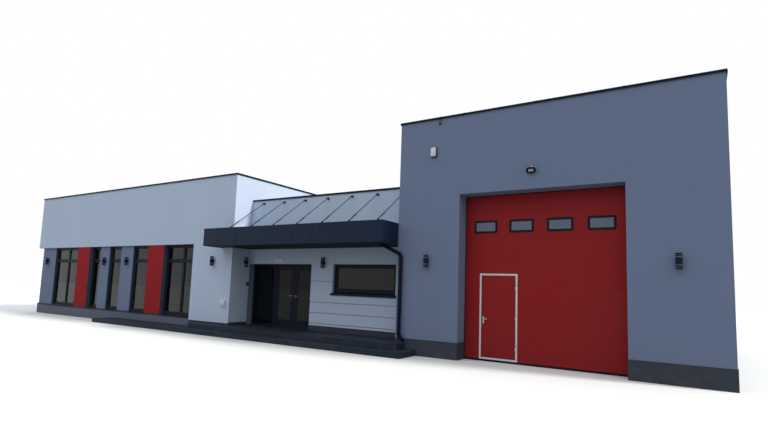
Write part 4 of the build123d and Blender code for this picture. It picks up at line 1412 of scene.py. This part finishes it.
@dataclass
class GarageDoor:
    """What is fitted to the sectional door: window frames, side and top seals, and the wicket's trim."""

    head: float = 4.130
    foot: float = 0.050
    window: tuple[float, float] = (0.600, 0.325)
    window_z: float = 3.328
    pitch: float = 0.907
    proud: float = 0.012
    corner: float = 0.042
    wicket_in: float = 0.403
    wicket_width: float = 0.957
    wicket_top: float = 2.150
    wicket_bar: float = 0.050
    wicket_proud: float = 0.010
    lever_z: float = 1.025
    lever_in: float = 0.051

    def window_frames(self) -> None:
        """Rounded moulded frames round the four door windows, with a lip and a clip-on inner rim."""
        form, (w, h) = Form(), self.window
        section = mm(
            (0, 11.7), (0, 5), (2, 1.5), (6, 0), (20, 0), (22, 1.5), (24, 1.5), (26, 0), (46, 1),
            (52, 5), (54, 9), (54, 11.7), at=(0, BLOCKS.door_face - self.proud),
        )
        for place in (-1.5, -0.5, 0.5, 1.5):
            x = sum(BLOCKS.door) / 2 + place * self.pitch
            path = corners(*about(x, w / 2), *about(self.window_z, h / 2), self.corner)
            form.sweep(path, section, Slot.BLACK_PLASTIC, Lie.FRONT)
        form.piece("door_window_frames", Slot.BLACK_PLASTIC, ["garage_window_frames"])

    def seals(self) -> None:
        """Lip seals down both sides and along the head, and a rail along the door's foot."""
        form, f, z, (x0, x1) = Form(), BLOCKS.door_face, self.foot, BLOCKS.door
        lip = mm((0, -0.5), (0, -16), (4, -18), (10, -15), (24, -4), (24, -1), (10, -0.5), at=(0, f))
        path = [(x1, z), (x1, self.head), (x0, self.head), (x0, z)]
        form.sweep(path, lip, Slot.RUBBER, Lie.FRONT, False)
        rail = mm((-0.4, 0), (-6, 0), (-7, 4), (-7, 34), (-5, 38), (-0.4, 40), at=(f, z))
        wicket = x0 + self.wicket_in
        for a, c in ((x0 + 0.025, wicket), (wicket + self.wicket_width, x1 - 0.025)):
            form.extrude(rail, a, c, Slot.RED_DOOR)
        form.piece("door_seals", Slot.RUBBER)

    def wicket(self) -> None:
        """The ridge and seal on the wicket's frame, and the leaf's handles."""
        b, form, handles, bar = BLOCKS, Form(), Form(), self.wicket_bar
        x0, f = b.door[0] + self.wicket_in, b.door_face - self.wicket_proud
        path = corners(x0 + HAIR, x0 + self.wicket_width - HAIR, self.foot, self.wicket_top - HAIR)
        ridge = mm((0, 0), (0, -2), (2, -4), (14, -4), (17, -1.5), (18, 0), at=(0, f))
        form.sweep(path, ridge, Slot.WHITE_METAL, Lie.FRONT)
        seal = mm((-4, -0.5), (-1, -2), (3, 1), (3, 10), (0, 11), (0, 0), at=(bar, f))
        form.sweep(path, seal, Slot.RUBBER, Lie.FRONT).piece("wicket_trim", Slot.WHITE_METAL)
        for face, outward in ((b.door_face, -1), (b.door_back, 1)):
            neck = (x0 + bar + self.lever_in, face, self.lever_z)
            Lever(plate_slot=Slot.WHITE_METAL).add(handles, neck, outward, 1)
        handles.piece("wicket_levers", Slot.STEEL, ["wicket_handle"], "wicket")

    def build(self) -> None:
        """Makes everything on the door."""
        self.window_frames()
        self.seals()
        self.wicket()


@dataclass
class CanopyTrim:
    """The canopy's cap flashing and drip, the boards of its soffit and the seams of its tray."""

    edge: float = 0.045
    board: float = 0.100
    board_length: float = 2.3
    joint: float = 0.005
    seam_first: float = 0.40
    seam_pitch: float = 0.60

    def flashings(self) -> None:
        """The cap round the rim, the drip along the free sides and the tray's seams."""
        b, form, e = BLOCKS, Form(), self.edge
        (x0, y0, foot), (x1, y1, top) = b.canopy
        hall_x, hall_y = b.lobby[0] + HAIR, b.front - HAIR
        rim = [(x0, y0), (x1, y0), (x1, y1), (hall_x, y1), (hall_x, hall_y), (x0, hall_y)]
        cap = mm(
            (-3, -52), (-3.5, 4), (-2, 6), (48, 3), (48.5, -28), (46.5, -28), (46, 1), (-1, 3), (-1, -52),
            at=(0, top),
        )
        form.sweep(rim, cap, Slot.FASCIA, Lie.PLAN)
        drip = mm(
            (-0.5, 30), (-2.5, 30), (-2.5, -1), (-10, -8), (-9, -9.5), (0, -3), (22, -2), (22, -0.5),
            (-0.5, -0.5), at=(0, foot),
        )
        form.sweep([(x0, hall_y), (x0, y0), (x1, y0), (x1, hall_y)], drip, Slot.FASCIA, Lie.PLAN, False)
        floor = (top - b.tray + 0.0002, top - b.tray + 0.026)
        seams = [
            (*about(x, 0.003), y0 + e + 0.004, (y1 if x > hall_x + 0.05 else hall_y) - e - 0.004, *floor)
            for x in np.arange(x0 + self.seam_first, x1 - 0.2, self.seam_pitch)
        ]
        form.boxes(seams, 0.001, Slot.FASCIA).piece("canopy_flashings", Slot.METAL)

    def boards(self) -> None:
        """Narrow boards along the soffit, in two fields and in lengths."""
        b, e, boards, half = BLOCKS, self.edge, [], self.joint / 2
        (left, near, foot), (right, far, _) = b.canopy
        hall_x, hall_y, up = b.lobby[0] + HAIR, b.front - HAIR, foot + b.soffit
        fields = (
            (left + e, right - e, near + e, hall_y - e), (hall_x + e, right - e, hall_y - e, far - e),
        )
        for x0, x1, y0, y1 in fields:
            ends = [x0 + 0.002, *np.arange(x0 + self.board_length, x1 - 0.6, self.board_length), x1 - 0.002]
            marks = np.linspace(y0, y1, round((y1 - y0) / self.board) + 1)
            for y, above in zip(marks, marks[1:]):
                for a, c in zip(ends, ends[1:]):
                    boards.append((a + 0.0005, c - 0.0005, y + half, above - half, up - 0.0125, up - HAIR))
        Form().boxes(boards, 0.002, Slot.SOFFIT).piece("soffit_boards", Slot.METAL)

    def build(self) -> None:
        """Makes the flashings and the boards."""
        self.flashings()
        self.boards()


@dataclass
class TieRods:
    """Seven tie rods: lugs on bolted plates, forks with headed pins, threaded rods and turnbuckles."""

    count: int = 7
    from_hall: float = 0.570
    from_garage: float = 0.270
    anchor_z: float = 4.480
    foot_reach: float = 0.632
    foot_rise: float = 0.042
    lug_reach: float = 0.058
    lug_half: float = 0.024
    lug_t: float = 0.012
    plate_t: float = 0.012
    plate_height: float = 0.080
    wall_plate: float = 0.080
    foot_plate: float = 0.090
    rod: float = 0.011
    fork: float = 0.095
    turnbuckle_at: float = 0.210
    turnbuckle: float = 0.170
    thread: float = 0.0016

    def lug(self, form: Form, pin: Array, root: Array) -> None:
        """A plate with a round end.

        Args:
            form: the form that takes it.
            pin: the middle of its round end.
            root: the middle of its foot.
        """
        way = (pin - root) / np.linalg.norm(pin - root)
        side = np.array([-way[1], way[0]]) * self.lug_half
        t = np.linspace(-math.pi / 2, math.pi / 2, 13)[:, None]
        end = pin + np.sin(t) * side + np.cos(t) * way * self.lug_half
        outline = [root - side * 1.25, *end, root + side * 1.25]
        form.extrude(outline, *about(0, self.lug_t / 2), Slot.METAL)

    def jaw(self, form: Form, pin: Array, way: Array) -> None:
        """A fork with its headed pin through its cheeks.

        Args:
            form: the form that takes it.
            pin: the pin's place.
            way: the rod's direction from there.
        """
        t = np.linspace(math.pi / 2, 3 * math.pi / 2, 11)
        end = 0.016 * np.stack([np.cos(t), np.sin(t)], -1)
        cheek = np.concatenate([end, mm((50, -16), (58, -10), (58, 10), (50, 16))])
        outline = pin + cheek @ np.array([way, (-way[1], way[0])])
        for x in (0.0065, -0.0135):
            form.extrude(outline, x, x + 0.007, Slot.METAL)
        collar = mm((12, 44), (15.5, 50), (15.5, 74), (13, 80), (13, self.fork * 1000))
        form.turn(collar, (0, *way), (0, *pin), Slot.METAL, 20)
        shank = mm(
            (10, -22.5), (12.5, -20.5), (12.5, -16.5), (9, -16), (9, 16), (12, 16.2), (12, 18.5), (9, 19),
            (8.5, 22.5),
        )
        form.turn(shank, RIGHTWARD, (0, *pin), Slot.METAL, 16)

    def plate(self, form: Form, centre: Spot, axis: Spot, width: float) -> None:
        """A rounded plate with a bolt near each corner.

        Args:
            form: the form that takes it.
            centre: the middle of its back.
            axis: where it faces.
            width: its width.
        """
        height, thick = self.plate_height, self.plate_t
        steps = [(1.0, 0.0), (1.0, 0.010), (0.97, thick)]
        form.housing((width, height), steps, axis, centre, Slot.METAL, 9.0)
        for u in about(0, width / 2 - 0.014):
            for v in about(0, height / 2 - 0.014):
                form.bolt(laid(np.array([u, v, thick]), axis, centre), axis, 0.0065)

    def build(self) -> None:
        """Makes one rod in the plane x = 0 and repeats it along the wall."""
        b, form, metal = BLOCKS, Form(), Slot.METAL
        top = b.canopy[1][2]
        wall, floor = b.lobby_front - HAIR, top - b.tray + HAIR
        upper = np.array([wall - self.lug_reach, self.anchor_z])
        lower = np.array([b.front - self.foot_reach, top + self.foot_rise])
        span = float(np.linalg.norm(upper - lower))
        way = (upper - lower) / span
        self.plate(form, (0, wall, self.anchor_z), FORWARD, self.wall_plate)
        self.plate(form, (0, lower[0], floor), UPWARD, self.foot_plate)
        self.lug(form, upper, np.array([wall - 0.011, self.anchor_z]))
        self.lug(form, lower, np.array([lower[0], floor + 0.011]))
        self.jaw(form, lower, way)
        self.jaw(form, upper, -way)
        near, far = self.turnbuckle_at, self.turnbuckle_at + self.turnbuckle
        ends = (self.fork - 0.01, span - self.fork + 0.01)
        body = mm(
            (14, 0), (19, 4), (19, 30), (16, 37), (16, 133), (19, 140), (19, 166), (14, 170), at=(0, near),
        )
        turned = [([(self.rod, at) for at in ends], 16), (body, 24)]
        for at in (near - 0.013, far + 0.001):
            turned.append((mm((16.5, 0), (19, 2), (19, 10), (16.5, 12), at=(0, at)), 6))
        for a, c in ((near - 0.060, near - 0.013), (far + 0.013, far + 0.060)):
            steps = np.arange(a, c, self.thread)
            crest = np.where(np.arange(len(steps)) % 2, self.rod + 0.0010, self.rod + 0.0001)
            turned.append((np.stack([crest, steps], -1), 12))
        for profile, sides in turned:
            form.turn(profile, (0, *way), (0, *lower), metal, sides)
        places = np.linspace(b.lobby[0] + self.from_hall, b.garage[0] - self.from_garage, self.count)
        Form().join(form.placed((x, 0, 0)) for x in places).piece("tie_rod_set", metal, ["tie_rods"])


@dataclass
class Lanterns:
    """Eight drum lanterns: turned rings with opal necks between them, on an arm and a screwed plate."""

    radius: float = 0.062
    neck: float = 0.046
    rings: tuple[float, ...] = (0.027, 0.015, 0.030, 0.027, 0.133, 0.030, 0.019, 0.015, 0.027)
    stand_off: float = 0.090
    height: float = 2.430
    pier_places: tuple[float, ...] = (0.880, 5.790, 7.430)
    white_wall_place: float = 0.920
    side_depth: float = 0.565
    lobby_place: float = 3.345
    garage_places: tuple[float, float] = (0.895, 0.890)

    def lantern(self) -> Form:
        """Makes one lantern with its axis at the origin and its wall behind it.

        Returns:
            The lantern.
        """
        form, centre, r = Form(), (0, 0, 0), self.radius
        z = -sum(self.rings) / 2
        for k, ring in enumerate(self.rings):
            if k % 2:
                neck = [(self.neck, z - 0.001), (self.neck, z + ring + 0.001)]
                form.turn(neck, UPWARD, centre, Slot.OPAL, 32)
            else:
                low = mm((-10, 0), (-2.5, 0.6), (0, 2.5), at=(r, z))
                high = mm((0, -2.5), (-2.5, -0.6), (-10, 0), at=(r, z + ring))
                form.turn([*low, *high], UPWARD, centre, Slot.METAL, 32)
            z += ring
        wall = self.stand_off - HAIR
        plate = (*about(0, 0.035), wall - 0.014, wall, *about(0, 0.055))
        arm = (*about(0, 0.017), self.neck + 0.004, wall - 0.013, *about(0, 0.030))
        form.boxes([plate, arm], 0.004, Slot.METAL)
        for up in (-0.043, 0.043):
            form.turn(mm((4, 0), (4, 1.5), (2.5, 2.5)), FORWARD, (0, wall - 0.014, up), Slot.STEEL, 12)
        return form

    def build(self) -> None:
        """Repeats the lantern at its places on the walls."""
        b, one = BLOCKS, self.lantern()
        places = [(b.hall[0] + x, b.front + b.pier_setback) for x in self.pier_places]
        places += [
            (b.hall[1] - self.white_wall_place, b.front), (b.lobby[0] + self.lobby_place, b.lobby_front),
            (b.garage[0] + self.garage_places[0], b.front), (b.garage[1] - self.garage_places[1], b.front),
        ]
        form = Form().join(one.placed((x, y - self.stand_off, self.height)) for x, y in places)
        form.join([one.placed((b.hall[1] + self.stand_off, b.front + self.side_depth, self.height), 90)])
        form.piece("drum_lanterns", Slot.METAL, ["wall_lanterns"])


@dataclass
class Fittings:
    """The floodlight, siren, emergency light, socket and alarm point, each where its CAD solid is."""

    lamp_rise: float = 0.440
    lamp_off: float = 0.0597
    lamp_height: float = 0.150
    fins: int = 7
    louvres: int = 7
    louvre_pitch: float = 0.012
    flap: tuple[float, float] = (0.104, 0.150)
    flap_off: float = 0.0582
    point_front: float = 0.052

    def seat(self, name: str) -> tuple[Array, Array]:
        """Where a fitting sits.

        Args:
            name: its CAD node.

        Returns:
            The middle of its back, on the wall behind it, and its size.
        """
        low, high = node_box(name)
        centre = (low + high) / 2
        centre[1] = high[1]
        return centre, high - low

    def floodlight(self) -> None:
        """An oval cast housing that looks forward and down, with a bright lens and a small cap on top."""
        (x, wall, _), size = self.seat("floodlight")
        form, black = Form(), Slot.BLACK_PLASTIC
        axis, y = (0, -0.8, -0.6), wall - self.lamp_off
        z = node_box("garage_lintel")[0][2] + self.lamp_rise
        shell = [
            (0.50, -0.012), (0.78, -0.010), (0.93, 0.0), (1.0, 0.014), (1.0, 0.034), (0.97, 0.042),
            (0.92, 0.045), (0.84, 0.045), (0.82, 0.040), (0.80, 0.030),
        ]
        form.housing((size[0], self.lamp_height), shell, axis, (x, y, z), black, 2.7, 48)
        for u in (-0.040, 0.0, 0.040):
            for v in (-0.017, 0.017):
                dome = mm((16.5, 30.2), (16, 35), (12.5, 40), (6, 42.5))
                form.turn(dome, axis, laid(np.array([u, v, 0.0]), axis, (x, y, z)), Slot.LENS, 16)
        fin = (y + 0.004, y + 0.024, z - 0.02, z + 0.05)
        cheek = (wall - 0.056, wall - 0.004, z + 0.002, z + 0.056)
        boxes = [(*about(x + d, 0.002), *fin) for d in np.linspace(-0.036, 0.036, self.fins)]
        boxes.append((*about(x, 0.045), wall - 0.006, wall, z, z + 0.060))
        boxes += [(*about(x + d, 0.002), *cheek) for d in (-0.043, 0.043)]
        form.boxes(boxes, 0.001, black)
        cap = mm((20, 0), (21, 4), (21, 14), (15, 21), (6, 24))
        form.turn(cap, (0, -0.35, 1), (x + 0.012, wall - 0.062, z + 0.060), Slot.WHITE_PLASTIC)
        for d in (-0.030, 0.030):
            form.bolt((x + d, wall - 0.006, z + 0.012), FORWARD, 0.005)
        form.piece("floodlight_lamp", black, ["floodlight"])

    def siren(self) -> None:
        """A pale cover with louvres and four screws on a dark weatherproof body, whose dark rim is also
        painted shade round the cover.
        """
        (x, wall, z), (width, deep, height) = self.seat("siren_box")
        form, size, at, front = Form(), (width, height), (x, wall, z), wall - deep
        # Dark body: a real base, and also painted shade as a dark rim round the pale cover.
        body = [(0.97, 0.0), (0.97, 0.040), (0.95, 0.046), (0.90, 0.048)]
        form.housing(size, body, FORWARD, at, Slot.BLACK_PLASTIC, 9.0, 56)
        cover = [(0.87, 0.0482), (0.88, 0.050), (0.86, 0.070), (0.83, 0.080), (0.77, deep)]
        form.housing(size, cover, FORWARD, at, Slot.WHITE_PLASTIC, 7.0, 56)
        slats = [
            (*about(x, 0.050), front - 0.0002, front + 0.004, *about(up, 0.0022))
            for up in z - 0.080 + np.arange(self.louvres) * self.louvre_pitch
        ]
        form.boxes(slats, 0.0006, Slot.WHITE_PLASTIC)
        for u in (-0.055, 0.055):
            for v in (-0.096, 0.096):
                screw = mm((4, 0), (4, 1.2), (3, 1.8))
                form.turn(screw, FORWARD, (x + u, front + 0.001, z + v), Slot.STEEL, 12)
        form.piece("siren_housing", Slot.WHITE_PLASTIC, ["siren_box"])

    def emergency(self) -> None:
        """A flat white luminaire with a domed diffuser and a seam round its base."""
        at, (width, deep, height) = self.seat("emergency_light")
        base = [(1.0, 0.0), (1.0, 0.016), (0.985, 0.018)]
        dome = [(0.975, 0.0181), (0.97, 0.024), (0.955, 0.040), (0.92, 0.052), (0.86, 0.058), (0.78, deep)]
        form = Form()
        for steps, square in ((base, 12.0), (dome, 9.0)):
            form.housing((width, height), steps, FORWARD, at, Slot.WHITE_PLASTIC, square, 56)
        form.piece("emergency_lamp", Slot.WHITE_PLASTIC, ["emergency_light"])

    def socket(self) -> None:
        """A twin weatherproof socket: a back box and two flaps with finger lips."""
        (x, wall, z), (width, _, height) = self.seat("socket_box")
        form, white = Form(), Slot.WHITE_PLASTIC
        back = [(1.0, 0.0), (1.0, 0.050), (0.98, 0.056), (0.97, 0.058)]
        form.housing((width, height), back, FORWARD, (x, wall, z), white, 10.0, 56)
        steps = [(1.0, 0.0), (1.0, 0.012), (0.97, 0.020), (0.90, 0.026), (0.80, 0.030)]
        for u in about(x, width * 0.235):
            y, w = wall - self.flap_off, z + 0.008
            form.housing(self.flap, steps, FORWARD, (u, y, w), white)
            form.turn(mm((5.5, -40), (5.5, 40)), RIGHTWARD, (u, y - 0.006, w + 0.080), white, 12)
            form.boxes([(*about(u, 0.016), y - 0.024, y - 0.004, w - 0.084, w - 0.074)], 0.002, white)
        form.piece("socket_housing", white, ["socket_box"])

    def alarm(self) -> None:
        """A red manual call point with a dull window and a push disc, on the wall beside the doors."""
        low, high = node_box("alarm_box")
        (wall, _, _), (_, y, z), (_, width, height) = low, (low + high) / 2, high - low
        steps = [(1.0, 0.0), (1.0, 0.030), (0.96, 0.040), (0.95, 0.048), (0.90, 0.052)]
        form = Form().housing((width, height), steps, RIGHTWARD, (wall, y, z), Slot.RED_PLASTIC, 8.0)
        x = wall + self.point_front
        form.boxes([(x - 0.001, x + 0.0015, *about(y, 0.034), z - 0.052, z + 0.010)], 0.0008, Slot.OPAL)
        disc = mm((11, 0), (11, 1.5), (8, 2.4))
        form.turn(disc, RIGHTWARD, (x + 0.001, y, z - 0.021), Slot.BLACK_PLASTIC)
        form.piece("alarm_point", Slot.RED_PLASTIC, ["alarm_box"])

    def build(self) -> None:
        """Makes the five fittings."""
        self.floodlight()
        self.siren()
        self.emergency()
        self.socket()
        self.alarm()


@dataclass
class Downpipe:
    """A round downpipe with swept elbows, sleeved joints, a flange at the soffit and bolted clips."""

    radius: float = 0.050
    wall_t: float = 0.003
    proud: float = 0.085
    from_corner: float = 0.150
    outlet_from_corner: float = 0.600
    outlet_rise: float = 0.060
    bend_z: float = 2.600
    shoe_z: float = 0.470
    shoe_drop: float = 0.110
    shoe_reach: float = 0.140
    elbow: float = 0.120
    clamps: tuple[float, float] = (2.150, 0.900)
    clamp_height: float = 0.036

    def centre_line(self) -> Array:
        """Draws the pipe's middle as straight runs joined by arcs that touch them.

        Returns:
            Its points.
        """
        b, foot = BLOCKS, BLOCKS.canopy[0][2]
        x, y = b.garage[0] + self.from_corner, b.front - self.proud
        marks = np.array([
            [b.garage[0] - self.outlet_from_corner, y, foot + self.outlet_rise], [x, y, self.bend_z],
            [x, y, self.shoe_z], [x + self.shoe_reach, y, self.shoe_z - self.shoe_drop],
        ])
        run = marks[1] - marks[0]
        marks[0] += run * (foot + b.soffit - marks[0, 2]) / run[2]
        points = [marks[:1]]
        for before, corner, after in zip(marks, marks[1:], marks[2:]):
            p, q = ((end - corner) / np.linalg.norm(end - corner) for end in (before, after))
            half = math.acos(float(p @ q)) / 2
            reach = self.elbow / math.tan(half)
            centre = corner + (p + q) / np.linalg.norm(p + q) * self.elbow / math.sin(half)
            a, c = corner + p * reach - centre, corner + q * reach - centre
            turn = math.acos(float(a @ c) / self.elbow**2)
            t = np.linspace(0, 1, 9)[:, None]
            points.append(centre + (np.sin((1 - t) * turn) * a + np.sin(t * turn) * c) / math.sin(turn))
        return np.concatenate([*points, marks[-1:]])

    def build(self) -> None:
        """Makes the pipe with its joints and clips."""
        form, path, r, h = Form(), self.centre_line(), self.radius, self.clamp_height
        outer, inner = (tube(path, radius, 40, (0, 1, 0)) for radius in (r, r - self.wall_t))
        form.grid(np.concatenate([outer, inner[::-1]]), Slot.PIPE, True)
        sleeve = mm((-1, -20), (3.5, -18), (3.5, 17), (5, 19), (5, 24), (-1, 26), at=(r, 0))
        steps = np.diff(path, axis=0)
        steps /= np.linalg.norm(steps, axis=1)[:, None]
        for k, way in ((1, steps[0]), (9, steps[9]), (10, steps[9]), (18, steps[-1])):
            form.turn(sleeve, way, path[k], Slot.PIPE, 40, True)
        (x, y, _), seat = path[9], BLOCKS.front - HAIR
        band = mm((-1, 0), (6, 1), (7, 4), (7, 32), (6, 35), (-1, 36), at=(r, 0))
        lugs = about(x, r + 0.012)
        for z in self.clamps:
            form.turn(band, UPWARD, (x, y, z), Slot.PIPE, 40, True)
            boxes = [(*about(lug, 0.008), *about(y, 0.014), z + 0.004, z + h - 0.004) for lug in lugs]
            boxes.append((*about(x, 0.012), y + r, seat - 0.005, z + 0.006, z + h - 0.006))
            boxes.append((*about(x, 0.022), seat - 0.006, seat, z - 0.010, z + h + 0.010))
            form.boxes(boxes, 0.0015, Slot.PIPE)
            for lug in lugs:
                form.bolt((lug, y - 0.014, z + h / 2), FORWARD, 0.005)
        flange = mm((0, 0), (28, 0), (28, -4), (12, -7), (0, -14), at=(r, -0.013))
        form.turn(flange, UPWARD, path[0], Slot.PIPE, 40, True)
        form.piece("round_downpipe", Slot.METAL, ["downpipe"])


@dataclass
class CopingHook:
    """A small bent strap hooked over the garage coping at its front, with two bolts."""

    from_left: float = 1.185
    width: float = 0.060
    drop: float = 0.190
    over: float = 0.0245
    out: float = 0.031
    sheet: float = 0.004

    def build(self) -> None:
        """Makes the strap."""
        b = BLOCKS
        x, y = b.garage[0] + self.from_left, b.front - self.out
        top, foot = b.garage[2] + self.over, b.garage[2] - self.drop
        section = [
            *mm((0, 30), at=(y, foot)), *mm((0, -6), (100, -9), (100, -7), (-4, -4), at=(y, top)),
            *mm((-4, 34), (-12, 20), (-12, 0), (-8, 0), (-8, 18), at=(y, foot)),
        ]
        form = Form().extrude(section, *about(x, self.width / 2), Slot.METAL)
        for z in (foot + 0.060, foot + 0.110):
            form.bolt((x, y - self.sheet, z), FORWARD, 0.006)
        form.piece("coping_hook", Slot.METAL)


@dataclass
class Stage:
    """The pale floor, the light and the camera."""

    reach: float = 160.0
    floor_sides: int = 96
    floor_z: float = -0.002
    seen_floor: float = 0.80
    lit_floor: float = 0.20
    sky: tuple[float, float] = (0.50, 1.30)
    sky_colour: Colour = (0.92, 0.97, 1.0)
    lamp_energy: float = 3.0
    lamp_colour: Colour = (1.0, 0.955, 0.87)
    lamp_angle: float = 10.0
    lamp_way: tuple[float, float, float] = (-0.80, -0.14, -0.58)
    focal_pixels: float = 497.2
    principal_drop: float = 20.86
    yaw: float = 32.263
    pitch: float = 6.038
    roll: float = 1.985
    eye: tuple[float, float, float] = (13.2, -16.335, 1.690)
    film: float = 36.0

    def seen(self, nodes: Nodes) -> Value:
        """Tells what is seen from what only lights a surface.

        Args:
            nodes: the tree that takes the nodes.

        Returns:
            A factor: 1 for what the camera, glossy and clear surfaces see, and 0 for diffuse light.
        """
        kinds = ("Camera", "Glossy", "Transmission")
        rays = [nodes.node("ShaderNodeLightPath", out=f"Is {kind} Ray") for kind in kinds]
        return (rays[0] + rays[1] + rays[2]).clamp()

    def show(self, name: str, data: Any) -> bpy.types.Object:
        """Puts some data into the scene.

        Args:
            name: the object's name.
            data: its mesh, lamp or camera.

        Returns:
            The object.
        """
        made = bpy.data.objects.new(name, data)
        bpy.context.scene.collection.objects.link(made)
        return made

    def floor(self) -> None:
        """A wide flat disc, a hair below the ground, pale to the eye and duller to the diffuse light."""
        t = np.linspace(0, 2 * math.pi, self.floor_sides, endpoint=False)
        points = np.stack([self.reach * np.cos(t), self.reach * np.sin(t), np.full_like(t, self.floor_z)], -1)
        mesh = bpy.data.meshes.new("floor")
        mesh.from_pydata(points.tolist(), [], [list(range(self.floor_sides))])
        s = Shade("floor_paint")
        paint = s.mix(self.seen(s), (self.lit_floor,) * 3, (self.seen_floor,) * 3)
        mesh.materials.append(s.set(Base_Color=paint, Roughness=0.9, Specular_IOR_Level=0.0))
        self.show("floor", mesh)

    def light(self) -> None:
        """A white world for the eye, a sky for the surfaces that is softer near the ground, and one broad
        lamp from the right and a little behind, which leaves the fronts to the sky."""
        world = bpy.data.worlds.new("studio")
        bpy.context.scene.world = world
        world.use_nodes = True
        nodes = Nodes(world.node_tree)
        up = nodes.part(nodes.node("ShaderNodeTexCoord", out="Generated"), "Z")
        low, high = self.sky
        soft = {"Color": (*self.sky_colour, 1.0), "Strength": up.clamp() * (high - low) + low}
        sky = nodes.node("ShaderNodeBackground", soft)
        white = nodes.node("ShaderNodeBackground", {"Color": (1.0, 1.0, 1.0, 1.0), "Strength": 1.0})
        both = nodes.node("ShaderNodeMixShader", {0: self.seen(nodes), 1: sky, 2: white})
        nodes.tree.links.new(both.socket, nodes.tree.nodes.new("ShaderNodeOutputWorld").inputs["Surface"])
        lamp = bpy.data.lights.new("broad_lamp", "SUN")
        lamp.energy, lamp.color = self.lamp_energy, self.lamp_colour
        lamp.angle = math.radians(self.lamp_angle)
        made = self.show("broad_lamp", lamp)
        made.rotation_euler = Vector(self.lamp_way).to_track_quat("-Z", "Y").to_euler()

    def camera(self) -> None:
        """The photograph's camera, from its fitted focal length, angles and place."""
        yaw, pitch, roll = (math.radians(a) for a in (self.yaw, self.pitch, self.roll))
        ahead = Vector((-math.sin(yaw) * math.cos(pitch), math.cos(yaw) * math.cos(pitch), math.sin(pitch)))
        level = Vector((math.cos(yaw), math.sin(yaw), 0.0))
        upright = level.cross(ahead)
        right = level * math.cos(roll) + upright * math.sin(roll)
        up = upright * math.cos(roll) - level * math.sin(roll)
        lens = bpy.data.cameras.new("camera")
        lens.sensor_width = self.film
        lens.lens = self.focal_pixels / PICTURE_WIDTH * self.film
        lens.shift_y = self.principal_drop / PICTURE_WIDTH
        lens.clip_end = 500.0
        made = self.show("camera", lens)
        made.matrix_world = Matrix.Translation(self.eye) @ Matrix((right, up, -ahead)).transposed().to_4x4()
        bpy.context.scene.camera = made

    def build(self) -> None:
        """Sets the stage."""
        bpy.context.scene.view_settings.view_transform = "Standard"
        self.floor()
        self.light()
        self.camera()


def main() -> None:
    """Dresses the CAD nodes, builds each sub-assembly and sets the stage."""
    logging.basicConfig(level=logging.INFO, format="%(name)s: %(message)s")
    PALETTE.dress_nodes()
    windows = Windows()
    Reveals().build(windows)
    for part in (
        windows, Copings(), RoofSheets(), Steps(), WallTrim(), Entrance(), GarageDoor(), CanopyTrim(),
        TieRods(), Lanterns(), Fittings(), Downpipe(), CopingHook(), Stage(),
    ):
        part.build()
        LOG.info("built %s", type(part).__name__)


if __name__ == "__main__":
    main()
